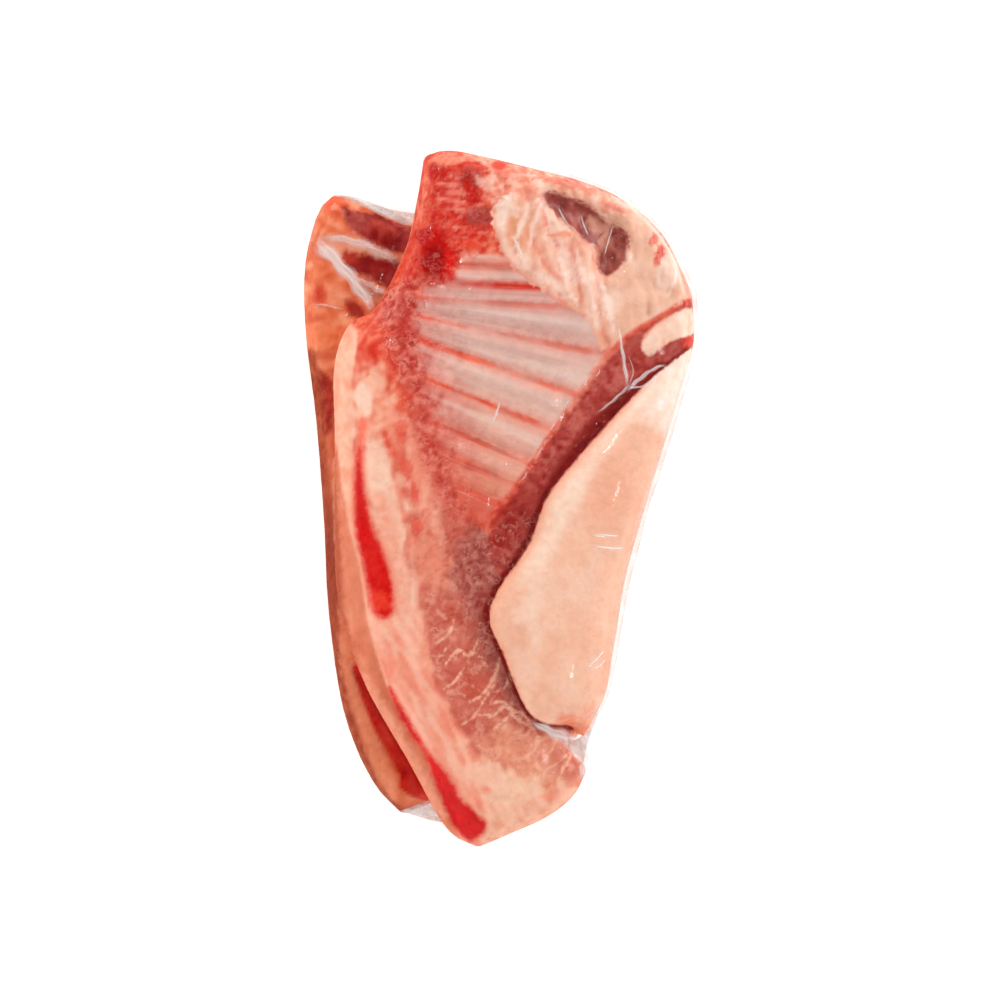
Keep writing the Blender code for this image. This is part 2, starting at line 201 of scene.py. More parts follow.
def depth_along(places, points, half_widths):
    """How deep each place lies inside a stroke whose half width changes from its start to its end."""
    line = smooth_curve(points, 5 * len(points))
    widths = np.interp(np.linspace(0, 1, len(line)), np.linspace(0, 1, len(half_widths)), half_widths)
    depth = np.full(len(places), -REACH)
    near = near_to(places, line)
    spots = places[near, :2]
    best = np.full(len(spots), -REACH)
    for start, run, width, change in zip(line[:-1], np.diff(line, axis=0), widths[:-1], np.diff(widths)):
        offset = spots - start
        share = np.clip(offset @ run / (run @ run), 0, 1)
        away = np.linalg.norm(offset - share[:, None] * run, axis=1)
        best = np.maximum(best, width + share * change - away)
    depth[near] = best
    return depth


def depth_inside(places, points):
    """How deep each place lies inside a closed smooth outline, and below zero outside it."""
    outline = smooth_curve(points, 6 * len(points), closed=True)
    depth = np.full(len(places), -REACH)
    near = near_to(places, outline)
    spots = places[near, :2]
    x, y = spots[:, 0], spots[:, 1]
    inside = np.zeros(len(spots), bool)
    nearest = np.full(len(spots), np.inf)
    for (x0, y0), (x1, y1) in zip(outline[:-1], outline[1:]):
        rise = y1 - y0 if y1 != y0 else 1.0
        inside ^= ((y0 > y) != (y1 > y)) & (x < (x1 - x0) * (y - y0) / rise + x0)
        run = np.array([x1 - x0, y1 - y0])
        offset = spots - (x0, y0)
        share = np.clip(offset @ run / max(run @ run, 1e-9), 0, 1)
        nearest = np.minimum(nearest, np.linalg.norm(offset - share[:, None] * run, axis=1))
    depth[near] = np.where(inside, 1.0, -1.0) * np.minimum(nearest, REACH)
    return depth


def ease(value):
    value = np.clip(value, 0, 1)
    return value * value * (3 - 2 * value)


def clouds(places, size, stretch=(1.0, 1.0), turn=0.0, offset=0.0):
    """Soft noise between -1 and 1, with lumps of the given size, turned and stretched on the drawing."""
    cos, sin = math.cos(turn), math.sin(turn)
    x = (places[:, 0] * cos + places[:, 1] * sin) / (size * stretch[0]) + offset
    y = (places[:, 1] * cos - places[:, 0] * sin) / (size * stretch[1])
    z = places[:, 2] / size
    return np.array([noise.noise(spot) for spot in zip(x, y, z)])


sample = clouds(np.random.default_rng(1).uniform(0, 99, (500, 3)), 9.0)
print("Noise runs from %.2f to %.2f" % (sample.min(), sample.max()))


# %% Work on one object at a time
def only(*pieces):
    """Select these pieces and no other, with the first one active."""
    bpy.ops.object.select_all(action="DESELECT")
    for piece in pieces:
        piece.select_set(True)
    bpy.context.view_layer.objects.active = pieces[0]


def apply_all(piece):
    only(piece)
    for modifier in list(piece.modifiers):
        bpy.ops.object.modifier_apply(modifier=modifier.name)


def add_remesh(piece, grain):
    """Cut a piece into an even mesh, with its grain in millimetres."""
    remesh = piece.modifiers.new("even_mesh", "REMESH")
    remesh.mode = "VOXEL"
    remesh.voxel_size = grain * MM
    remesh.use_smooth_shade = True


def add_soften(piece, factor, rounds):
    soften = piece.modifiers.new("soften", "SMOOTH")
    soften.factor = factor
    soften.iterations = rounds


def raise_by(piece, heights):
    """Move every vertex along its normal by its height in millimetres."""
    mesh = piece.data
    move_to(mesh, places_of(mesh) + normals_of(mesh) * heights[:, None])


def lift_to_floor(piece):
    places = places_of(piece.data)
    places[:, 2] = np.maximum(places[:, 2], 0.0)
    move_to(piece.data, places)


def fine_copy(solid, name, grain, smoothing, growth=0.0):
    """A copy of a solid with an even fine mesh, in which the joint of two fused forms is soft.

    Smoothing shrinks it a little, and its growth in millimetres makes up for that.
    """
    piece = bpy.data.objects.new(name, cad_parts[solid].data.copy())
    bpy.context.scene.collection.objects.link(piece)
    piece.data.materials.clear()
    only(piece)
    bpy.ops.object.mode_set(mode="EDIT")
    bpy.ops.mesh.select_all(action="SELECT")
    bpy.ops.mesh.remove_doubles(threshold=MERGE_DISTANCE * MM)
    bpy.ops.object.mode_set(mode="OBJECT")
    add_remesh(piece, grain)
    add_soften(piece, 0.5, smoothing)
    apply_all(piece)
    raise_by(piece, np.full(len(piece.data.vertices), growth))
    lift_to_floor(piece)
    print(name, "has", len(piece.data.vertices), "vertices")
    return piece


# %% [markdown]
# ## The front slab's form
# The solid already has the cut face, the ribs' bowl, the fat pad and the folded belly edge. What is finer is
# worked in here, on a mesh of 2 mm: the thin gaps between the ribs, the folds that hang down the fat pad, the
# cobbles of the bony head, the rim of the muscle band and the grain of the lean. Noise moves the vertices
# along their normals, as a sculpting brush would.

# %% What lies where on the cut face
RIB_BED = (
    (-47, 167), (-4, 179), (37, 157), (64, 141), (76, 118), (44, 58), (10, 5), (-12, -18), (-30, 5),
    (-46, 50), (-58, 118),
)
FAT_PAD = (
    (-7, 224), (4, 234), (31, 249), (62, 246), (109, 224), (136, 190), (150, 158), (124, 143), (97, 126),
    (79, 115), (68, 138), (43, 154), (23, 168), (6, 182), (-3, 202),
)
HOLLOW = (
    (32, 235), (44, 238), (70, 227), (85, 214), (98, 208), (99, 197), (96, 185), (84, 174), (76, 179),
    (75, 194), (62, 204), (46, 218),
)
# The band's first nine points are its edge beside the ribs
MUSCLE_BAND = (
    (149, 154), (124, 141), (99, 126), (81, 108), (67, 88), (46, 60), (24, 26), (7, 2), (-9, -18),
    (-1, -62), (22, -30), (50, 22), (93, 71), (140, 108), (152, 130),
)
BONY_HEAD = (
    (-62, 150), (-74, 193), (-65, 230), (-56, 262), (-12, 262), (22, 250), (-2, 222), (-4, 190), (-30, 180),
)

# %% The folded belly edge, by its free edge and its fold
FLAP_FREE = (
    (148, 117), (115, 91), (74, 48), (38, 4), (22, -36), (-1, -69), (-9, -92), (2, -120), (19, -161),
    (34, -174), (50, -176), (64, -186),
)
FLAP_FOLD = ((148, 117), (136, 74), (112, -4), (96, -62), (88, -112), (81, -153), (64, -186))
BEYOND_FOLD = ((90, -200), (106, -156), (112, -60), (130, 0), (152, 74), (160, 124))

# %% Gaps between the ribs, veins and the pad's ridges, each with its half widths
RIB_GAPS = (
    (((-30, 183), (-4, 179), (23, 174)), (1.4, 1.2)),
    (((-64, 164), (-19, 165), (28, 167)), (3.6, 2.6, 3.2)),
    (((-58, 161), (-4, 151), (35, 151)), (3.0, 1.6)),
    (((-45, 143), (-4, 129), (25, 122), (64, 115)), (1.5, 1.8, 1.6)),
    (((-52, 121), (-19, 110), (11, 98), (45, 85)), (3.0, 1.6, 1.9)),
    (((-37, 83), (-16, 76), (1, 67), (30, 55)), (1.8, 2.6, 1.4)),
    (((-42, 55), (-11, 41), (11, 31)), (1.6, 1.2)),
    (((-30, 24), (-11, 20), (-1, 15)), (1.2, 1.0)),
    (((-28, 7), (-16, 5), (-4, 2)), (1.2, 0.8)),
)
VEINS = (
    (((-28, -122), (-20, -119), (-13, -126), (-10, -131)), (0.9, 0.7)),
    (((-14, -158), (-7, -147), (-3, -141)), (0.8, 1.1)),
    (((-8, -159), (2, -158), (10, -165), (18, -167), (25, -179)), (0.7, 1.5, 0.9)),
    (((-5, -179), (5, -170), (11, -165)), (0.9, 1.1)),
    (((26, -179), (28, -190), (26, -197)), (0.9, 0.7)),
    (((34, -219), (35, -211), (46, -204), (53, -198)), (0.8, 1.0)),
    (((-20, -167), (-8, -168)), (0.5, 0.4)),
    (((-50, -126), (-44, -119), (-42, -115)), (0.5, 0.4)),
)
PAD_RIDGES = (
    (((32, 231), (28, 219), (24, 206), (23, 194)), (0.8, 1.8, 1.6, 0.8)),
    (((9, 204), (14, 194), (17, 185)), (0.6, 1.6, 0.8)),
    (((43, 229), (49, 218), (54, 210)), (0.8, 1.5, 0.8)),
    (((44, 190), (50, 176), (52, 163), (60, 150)), (0.4, 2.6, 1.4, 0.6)),
    (((59, 194), (62, 178), (70, 162), (74, 136)), (0.6, 3.4, 2.0, 0.6)),
    (((77, 170), (81, 158), (88, 131)), (0.4, 2.6, 0.6)),
)

# %% Work the front slab's relief
FRONT_GRAIN = 2.0
FRONT_GROWTH = 0.8
BAND_RIM = MUSCLE_BAND[:9]

front = fine_copy("front_slab", "front_ribs", FRONT_GRAIN, 5, growth=FRONT_GROWTH)
spots = places_of(front.data)
faces_up = ease((normals_of(front.data)[:, 2] - 0.05) / 0.5)
flap_depth = depth_inside(spots, (*FLAP_FREE, *BEYOND_FOLD))
on_flap = ease(flap_depth / 3.0 + 0.5)

in_pad = ease(depth_inside(spots, FAT_PAD) / 8.0 + 0.3)
in_head = ease(depth_inside(spots, BONY_HEAD) / 14.0 + 0.5)
in_bed = ease(depth_inside(spots, RIB_BED) / 8.0 + 0.3)
in_band = ease(depth_inside(spots, MUSCLE_BAND) / 5.0 + 0.3)

relief = 0.35 * clouds(spots, 4.0) + 0.5 * clouds(spots, 9.0, offset=7.0)
relief *= 1 - 0.8 * in_bed
pad_folds = (clouds(spots, 7.0, stretch=(1.0, 3.4), turn=0.22, offset=3.0)
             + 0.6 * clouds(spots, 3.6, stretch=(1.0, 2.4), turn=0.1))
relief += in_pad * 2.5 * pad_folds
relief += in_head * (1.6 * clouds(spots, 6.5, offset=11.0) + 0.9 * clouds(spots, 3.2))
relief += in_band * (1.0 * clouds(spots, 5.5, stretch=(1.0, 1.8), turn=0.9) + 0.5 * clouds(spots, 3.0))
relief += in_bed * 0.28 * clouds(spots, 2.6, stretch=(9.0, 1.0), turn=-0.22, offset=5.0)
for lines, height, soft in ((RIB_GAPS, -1.1, 2.5), (VEINS, 0.6, 1.6), (PAD_RIDGES, 0.9, 2.5)):
    for line, widths in lines:
        relief += height * ease(depth_along(spots, line, widths) / soft + 0.6)
relief += 1.3 * ease(depth_along(spots, BAND_RIM, (2.2, 2.2)) / 3.0 + 0.6)
relief -= 1.2 * ease(depth_inside(spots, HOLLOW) / 4.0 + 0.5)
relief *= 1 - on_flap
relief += on_flap * (1.9 * clouds(spots, 34.0, offset=2.0) + 0.8 * clouds(spots, 13.0))
relief *= faces_up
raise_by(front, relief)
print("The relief runs from %.1f to %.1f mm" % (relief.min(), relief.max()))

# %% [markdown]
# ## The back slab's form
# Only a strip of the back slab shows, to the left of the front one: skin, a rim of fat, and lean between the
# ends of its ribs. Its own relief is low.

# %% Work the back slab's relief
BACK_STREAK = (
    (-117, -128), (-113, -144), (-109, -157), (-99, -180), (-89, -197), (-80, -216), (-78, -228), (-54, -236),
    (-60, -200), (-84, -166), (-102, -138),
)
BACK_LEAN_TOP = (
    (-123, 229), (-113, 226), (-100, 224), (-82, 218), (-64, 209), (-66, 192), (-86, 194), (-100, 200),
    (-113, 207), (-121, 218),
)
BACK_LEAN_LOW = (
    (-124, 194), (-116, 193), (-100, 190), (-78, 185), (-76, 164), (-96, 169), (-108, 175), (-120, 180),
)
FRONT_COVERS = (
    (-129, -60), (-126, 100), (-70, 190), (-60, 260), (100, 240), (140, 100), (80, -200), (-20, -250),
)
BACK_GRAIN = 2.2
BACK_GROWTH = 1.2

back = fine_copy("back_slab", "back_ribs", BACK_GRAIN, 4, growth=BACK_GROWTH)
back_spots = places_of(back.data)
back_up = ease((normals_of(back.data)[:, 2] - 0.05) / 0.5)
back_relief = 0.3 * clouds(back_spots, 4.0) + 0.9 * clouds(back_spots, 12.0, offset=4.0)
for patch in (BACK_LEAN_TOP, BACK_LEAN_LOW):
    back_relief -= 1.0 * ease(depth_inside(back_spots, patch) / 5.0 + 0.5)
shows = ease(-depth_inside(back_spots, FRONT_COVERS) / 10.0)
raise_by(back, back_relief * back_up * shows)

# %% [markdown]
# ## Painting the meat
# Raw meat has no flat colour anywhere. Each tissue is painted on a canvas of its own, one colour at every
# vertex: first a ground, then regions and daubs over it, each mottled by noise in two to four tones. The
# canvases are then cut against each other in the material, along outlines that stay sharp.
# The colours are read off the photo. The film mirrors a little white over all of them, so that veil
# is taken off each colour first.

# %% Colours as they look in a photo
VEIL = 0.006


def linear(colour):
    """A colour seen on a screen, from 0 to 255, as a linear value without the film's veil."""
    share = np.array(colour) / 255
    value = np.where(share <= 0.04045, share / 12.92, ((share + 0.055) / 1.055) ** 2.4)
    return np.maximum(value - VEIL, 0.003)


# %% Canvas, mottle, region and daub
# Pairs of lump sizes that mottle a tone, in millimetres
FINE = (6.0, 3.2)
MIDDLE = (12.0, 6.0)
BROAD = (26.0, 12.0)


def noise_fields(spots, offset):
    """Noise of four sizes, bent so that its lumps look torn."""
    bend = clouds(spots, 14.0, offset=offset + 50.0)
    bent = spots + 6.0 * bend[:, None] * np.array([1.0, -0.7, 0.0])
    return {size: 1.6 * clouds(bent, size, offset=offset) for size in (3.2, 6.0, 12.0, 26.0)}


class Canvas:
    """The colours of one tissue at every vertex."""

    def __init__(self, spots, fields, tones, sizes=MIDDLE):
        self.spots = spots
        self.fields = fields
        self.colours = self.mottle(tones, sizes)

    def noise(self, sizes):
        return sum(self.fields[size] for size in sizes) / math.sqrt(len(sizes))

    def mottle(self, tones, sizes, contrast=1.0):
        share = np.clip(0.5 + 0.5 * contrast * self.noise(sizes), 0, 1)
        stops = np.linspace(0, 1, len(tones))
        values = np.array([linear(tone) for tone in tones])
        return np.column_stack([np.interp(share, stops, values[:, channel]) for channel in range(3)])

    def lay(self, mask, tones, sizes=MIDDLE, contrast=1.0):
        if not isinstance(tones[0], tuple):
            tones = (tones, tones)
        self.colours += mask[:, None] * (self.mottle(tones, sizes, contrast) - self.colours)

    def region(self, points, tones, soft=6.0, ragged=3.0, cover=1.0, sizes=MIDDLE, contrast=1.0):
        """A closed outline with a soft torn edge."""
        depth = depth_inside(self.spots, points) + ragged * self.noise(MIDDLE)
        self.lay(cover * ease(depth / soft + 0.5), tones, sizes, contrast)

    def stroke(self, points, widths, tones, soft=3.0, ragged=1.0, cover=1.0):
        depth = depth_along(self.spots, points, widths) + ragged * self.noise(FINE)
        self.lay(cover * ease(depth / soft + 0.5), tones, FINE)

    def daub(self, centre, radii, tones, turn=0.0, soft=0.7, ragged=0.25, cover=0.9):
        """An oval dab, with its long way turned by so many degrees."""
        angle = math.radians(turn)
        across = self.spots[:, :2] - centre
        x = (across[:, 0] * math.cos(angle) + across[:, 1] * math.sin(angle)) / radii[0]
        y = (across[:, 1] * math.cos(angle) - across[:, 0] * math.sin(angle)) / radii[1]
        edge = 1 - np.hypot(x, y) + ragged * self.noise(FINE)
        self.lay(cover * ease(edge / soft + 0.5), tones, FINE)

    def daubs(self, rows, **alike):
        """Several dabs, each by its centre, radii, turn, cover and tones."""
        for centre, radii, turn, cover, tones in rows:
            self.daub(centre, radii, tones, turn=turn, cover=cover, **alike)

    def keep(self, mesh, name):
        attribute = mesh.attributes.new(name, "FLOAT_COLOR", "POINT")
        full = np.column_stack([np.clip(self.colours, 0, 1), np.ones(len(self.colours))])
        attribute.data.foreach_set("color", full.astype(np.float32).ravel())


def keep_value(mesh, name, values):
    attribute = mesh.attributes.new(name, "FLOAT", "POINT")
    attribute.data.foreach_set("value", np.asarray(values, np.float32))


# %% Tones of the tissues
SALMON = ((212, 96, 80), (228, 126, 104), (238, 150, 126))
WINE = ((154, 58, 54), (176, 92, 82), (200, 122, 108))
PINK_FAT = ((243, 144, 118), (249, 168, 142), (252, 186, 160))
CREAM_FAT = ((238, 158, 126), (246, 184, 152), (250, 196, 166))
ORANGE = ((214, 68, 48), (229, 92, 68), (241, 128, 100))
RED = ((196, 34, 28), (214, 58, 46), (230, 92, 74))
BLOOD = ((136, 4, 6), (176, 10, 8), (204, 24, 16))

# %% The lean, from the ribs down to the tail
mesh = front.data
spots = places_of(mesh)
up = normals_of(mesh)[:, 2]
fields = noise_fields(spots, 0.0)

ground = Canvas(spots, fields, SALMON)
ground.region([(-78, -40), (-62, -30), (-44, -50), (-40, -84), (-46, -110), (-58, -100), (-66, -80)],
              ((222, 112, 90), (234, 138, 112), (240, 160, 134)), soft=12.0, ragged=4.0)
ground.region([(-97, -30), (-60, -10), (-20, 0), (30, -40), (40, -150), (74, -205), (60, -240), (20, -235),
               (-20, -205), (-50, -140), (-62, -85)],
              ((190, 80, 66), (208, 106, 88), (224, 134, 112)), soft=16.0, sizes=(12.0, 3.2))
ground.region([(-6, -180), (20, -180), (52, -190), (66, -215), (52, -240), (10, -238), (-22, -212)],
              ((216, 124, 98), (234, 148, 120), (244, 176, 146)), soft=14.0, ragged=8.0, sizes=FINE)
ground.daubs((
    ((10, -156), (12, 12), -20, 0.8, ((196, 70, 56), (210, 92, 74))),
    ((-14, -128), (18, 9), -50, 0.6, ((186, 84, 70), (198, 104, 88))),
    ((-24, -141), (12, 14), 20, 0.7, ((190, 72, 56), (206, 92, 74))),
    ((52, -206), (10, 16), 40, 0.8, ((204, 100, 84), (220, 130, 108))),
), ragged=0.4)
ground.region([(-16, -214), (4, -210), (28, -216), (50, -228), (62, -240), (35, -262), (0, -278),
               (-30, -270)],
              CREAM_FAT, soft=9.0, ragged=5.0)
ground.region([(14, 6), (30, -16), (24, -46), (10, -62), (-6, -80), (-8, -98), (4, -124), (20, -160),
               (6, -160), (-8, -128), (-22, -100), (-34, -70), (-34, -40), (-22, -14), (-6, 0)],
              WINE, soft=18.0, ragged=5.0, sizes=FINE, contrast=1.3)

# %% The rim of fat along the tail's left side
ground.region([(-97, -83), (-82, -79), (-63, -85), (-57, -110), (-50, -141), (-35, -172), (-18, -200),
               (4, -220), (23, -228), (46, -227), (66, -227), (46, -250), (5, -272), (-12, -280),
               (-30, -272), (-42, -250), (-57, -222), (-72, -195), (-94, -158), (-104, -122), (-110, -94)],
              PINK_FAT, soft=4.0, ragged=2.0, sizes=BROAD, contrast=1.3)
ground.region([(-8, -228), (14, -232), (40, -234), (56, -240), (30, -258), (0, -272), (-18, -262)],
              ((241, 174, 144), (246, 188, 158)), soft=10.0, ragged=4.0)
ground.stroke(((-86, -96), (-74, -130), (-58, -160), (-40, -190), (-20, -216)), (2.5, 3.5, 3.0, 3.5, 2.0),
              ((240, 128, 104), (246, 152, 126)), soft=5.0, ragged=2.0, cover=0.6)

# %% Fat, lean and membrane to the left of the ribs
ground.region([(-100, 48), (-88, 46), (-76, 26), (-74, 0), (-72, -30), (-66, -60), (-68, -84), (-86, -84),
               (-92, -50), (-98, -20), (-104, 8), (-106, 32)],
              ((242, 166, 140), (247, 190, 164), (249, 200, 176)), soft=9.0, ragged=4.0)
ground.region([(-113, 140), (-92, 150), (-78, 132), (-76, 101), (-70, 77), (-68, 48), (-80, 30), (-94, 38),
               (-106, 50), (-116, 57), (-117, 77), (-114, 101), (-117, 120)],
              ORANGE, soft=7.0, ragged=4.0, contrast=1.4)
for spot, radii, turn, tones in (
        ((-94, 118), (12, 9), 40, ((250, 160, 126), (244, 132, 102))),
        ((-96, 96), (5, 12), -8, ((216, 84, 66), (230, 110, 86))),
        ((-86, 62), (7, 16), 10, ((238, 134, 108), (248, 162, 134)))):
    ground.daub(spot, radii, tones, turn=turn)
ground.region([(-88, 156), (-60, 166), (-44, 160), (-40, 124), (-38, 105), (-30, 77), (-26, 52), (-20, 26),
               (-44, 10), (-62, 30), (-70, 77), (-78, 101), (-86, 128)],
              ((184, 50, 46), (208, 78, 66), (228, 118, 98)), soft=14.0, ragged=5.0, sizes=FINE,
              contrast=1.5)
ground.stroke(((-76, 60), (-70, 30), (-62, 0), (-50, -30)), (4.0, 7.0, 7.0, 4.0),
              ((236, 138, 112), (246, 172, 146)), soft=8.0, ragged=4.0, cover=0.8)
ground.daub((-79, 28), (4.5, 12), ((214, 88, 70), (226, 110, 90)), turn=-20)
ground.daub((-70, -34), (4.0, 16), ((208, 92, 74), (222, 114, 94)), turn=-16, cover=0.8)

# %% Grain that runs along the fat and the lean
MARGIN = (
    (-94, -86), (-64, -86), (-58, -112), (-50, -142), (-36, -172), (-18, -200), (4, -220), (40, -230),
    (30, -262), (0, -276), (-24, -246), (-48, -204), (-66, -172), (-84, -140),
)
LEFT_LEAN = (
    (-84, 70), (-60, 40), (-48, 0), (-44, -40), (-56, -84), (-74, -84), (-76, -40), (-80, 10),
)

along_margin = clouds(spots, 4.5, stretch=(1.0, 4.5), turn=0.5, offset=11.0)
along_left = clouds(spots, 5.0, stretch=(1.0, 4.5), turn=0.1, offset=17.0)
in_margin = ease(depth_inside(spots, MARGIN) / 8.0 + 0.5)
in_left = ease(depth_inside(spots, LEFT_LEAN) / 10.0 + 0.5)
for mask, tones in (
        (0.7 * in_margin * ease(0.1 + 2.2 * along_margin), ((251, 184, 158), (252, 196, 172))),
        (0.6 * in_margin * ease(-2.2 * along_margin), ((240, 138, 114), (245, 158, 132))),
        (0.6 * in_left * ease(0.1 + 2.2 * along_left), ((244, 160, 136), (248, 186, 162))),
        (0.5 * in_left * ease(-2.2 * along_left), ((220, 104, 84), (230, 126, 102)))):
    ground.lay(mask, tones)
for spot, radii, turn, tones in (
        ((-9, -215), (17, 9), -14, ((247, 190, 162), (250, 206, 182))),
        ((13, -228), (20, 8), 8, ((247, 192, 160), (250, 208, 182)))):
    ground.daub(spot, radii, tones, turn=turn, soft=1.0, ragged=0.3, cover=0.75)
ground.daub((-55, -48), (13, 20), ((232, 132, 106), (240, 152, 126)), turn=10, ragged=0.4, cover=0.8)
ground.daub((-62, 24), (9, 18), ((236, 132, 106), (244, 156, 130)), turn=14, ragged=0.5, cover=0.7)
ground.daub((-86, 114), (8, 14), ((222, 80, 62), (234, 102, 82)), ragged=0.5, cover=0.7)

# %% The pale strip down the left edge, and the blood streaks' soft rims
LEFT_STRIP = (
    (-140, 150), (-104, 146), (-110, 131), (-112, 121), (-115, 95), (-114, 75), (-113, 59), (-114, 40),
    (-113, 22), (-113, 0), (-112, -19), (-110, -42), (-106, -66), (-103, -87), (-98, -112), (-92, -136),
    (-86, -152), (-130, -150), (-145, 0),
)
STREAK_UP = ((-110, 40), (-110, 16), (-109, -1), (-106, -24), (-98, -48), (-93, -71), (-91, -84))
STREAK_UP_WIDTHS = (1.0, 3.0, 4.4, 6.4, 8.6, 9.6, 8.0)
STREAK_LOW_EDGE = (
    (-87, -147), (-81, -165), (-70, -184), (-59, -200), (-53, -218), (-46, -235), (-39, -252), (-32, -261),
    (-24, -268), (-17, -264), (-11, -254), (-20, -243), (-32, -232), (-38, -219), (-47, -207), (-58, -195),
    (-64, -184), (-76, -164), (-85, -148),
)

ground.region(LEFT_STRIP, ((244, 160, 130), (248, 182, 152), (251, 198, 170)), soft=3.0, ragged=1.0)
ground.stroke(((-129, 96), (-130, 40), (-126, -30), (-124, -80)), (3.0, 3.0, 3.0, 3.0), (240, 150, 122),
              soft=5.0, cover=0.6)
ground.region([(-103, 144), (-88, 152), (-80, 132), (-84, 110), (-92, 98), (-104, 100), (-109, 118)],
              ((212, 50, 36), (226, 78, 58), (242, 128, 100)), soft=4.0, contrast=1.3)
ground.region([(-112, 98), (-92, 100), (-86, 80), (-88, 58), (-100, 48), (-112, 56), (-115, 78)],
              ((240, 140, 112), (247, 168, 140), (250, 190, 164)), soft=14.0, ragged=4.0)
ground.stroke(((-106, 62), (-107, 46), (-109, 28)), (3.0, 3.5, 3.0), ((244, 106, 80), (248, 126, 100)),
              soft=5.0)
for spot, radii, turn, ragged, tones in (
        ((-106, 77), (6.5, 13), 4, 0.12, ((250, 203, 178), (252, 212, 190))),
        ((-99, 92), (5, 8), -10, 0.2, ((248, 178, 150), (250, 190, 164))),
        ((-95, 22), (9, 29), 9, 0.15, ((248, 190, 164), (251, 208, 184)))):
    ground.daub(spot, radii, tones, turn=turn, ragged=ragged)
ground.stroke(((-94, 0), (-86, -30), (-80, -60), (-74, -85)), (6.0, 7.0, 7.0, 5.0),
              ((243, 160, 134), (249, 186, 160)), soft=5.0, ragged=1.5)
ground.stroke(((-86, 56), (-84, 28), (-78, 0), (-70, -34)), (0.8, 1.5, 1.5, 1.0),
              ((232, 116, 92), (238, 134, 108)), soft=4.0, cover=0.7)
for spot, radii in (((-73, 23), (4, 10)), ((-67, 5), (4, 9)), ((-76, 52), (5, 9)), ((-64, -22), (4, 9)),
                    ((-84, 104), (4, 9)), ((-70, 78), (4, 7))):
    ground.daub(spot, radii, ((218, 66, 50), (232, 98, 78)), turn=12, ragged=0.5, cover=0.8)
ground.stroke(STREAK_UP, [width + 3.0 for width in STREAK_UP_WIDTHS], ((238, 112, 90), (244, 136, 112)),
              soft=7.0, cover=0.8)
ground.region(STREAK_LOW_EDGE, ((236, 96, 78), (242, 124, 102)), soft=9.0, cover=0.7)

# %% The skin edge, left of the crease
SKIN_EDGE = (
    (-130, 46), (-124, 15), (-117, -22), (-113, -37), (-109, -52), (-105, -79), (-103, -94),
    (-97, -116), (-88, -146), (-80, -163), (-72, -180), (-60, -196), (-53, -213), (-40, -247),
    (-30, -276), (-60, -276), (-100, -220), (-136, -140), (-150, -60), (-150, 46),
)

on_skin_edge = ease(depth_inside(spots, SKIN_EDGE) / 2.5 + 0.5)
ground.lay(on_skin_edge, ((216, 114, 80), (228, 130, 98), (234, 142, 110)), BROAD)
# A dark stroke down the left edge: painted shade where the side turns away
ground.stroke(((-131, 34), (-131, 0), (-130, -40), (-128, -76), (-122, -106), (-113, -130)),
              (2.0, 4.5, 6.0, 5.0, 2.0), ((176, 76, 46), (194, 92, 60)), soft=6.0, ragged=1.5, cover=0.95)
ground.stroke(((-106, -140), (-90, -168), (-72, -198), (-56, -226), (-44, -246)), (3.0, 5.0, 5.0, 5.0, 4.0),
              ((236, 142, 112), (244, 164, 134)), soft=6.0, ragged=1.5, cover=0.8)
ground.stroke(SKIN_EDGE[1:9], (0.6, 1.0, 1.0), ((250, 182, 152), (250, 176, 146)), soft=2.5, ragged=0.6,
              cover=0.6)

# %% The bony head
ground.region([(-30, 275), (-52, 272), (-64, 262), (-72, 236), (-76, 214), (-86, 186), (-102, 152),
               (-120, 140), (-92, 124), (-60, 140), (-30, 160), (-8, 176), (4, 190), (6, 220), (30, 240),
               (64, 250), (30, 264)],
              ORANGE, soft=5.0, ragged=2.0, sizes=FINE, contrast=1.3)
ground.region([(-30, 271), (7, 266), (35, 256), (48, 247), (37, 229), (16, 214), (4, 206), (-6, 228),
               (-10, 239), (-13, 258), (-24, 261)],
              ((236, 118, 94), (244, 156, 130), (250, 190, 168)), soft=5.0, ragged=4.0, sizes=FINE,
              contrast=1.6)
ground.region([(-50, 258), (-33, 262), (-14, 256), (-14, 233), (-8, 214), (-14, 198), (-30, 190),
               (-30, 167), (-43, 159), (-63, 156), (-78, 146), (-84, 150), (-76, 170), (-68, 190),
               (-60, 208), (-54, 233)],
              RED, ragged=4.0, sizes=FINE, contrast=1.4)
on_head = ease(depth_inside(spots, BONY_HEAD) / 10.0 + 0.5) * ease((spots[:, 0] + 56) / 20.0)
fibres = 1.6 * clouds(spots, 3.0, stretch=(2.2, 0.8), turn=0.15, offset=23.0)
ground.lay(0.6 * on_head * ease(1.5 * fibres - 0.3), ((240, 134, 114), (248, 178, 160)), FINE)
ground.lay(0.5 * on_head * ease(-1.5 * fibres - 0.3), ((196, 32, 24), (214, 58, 44)), FINE)

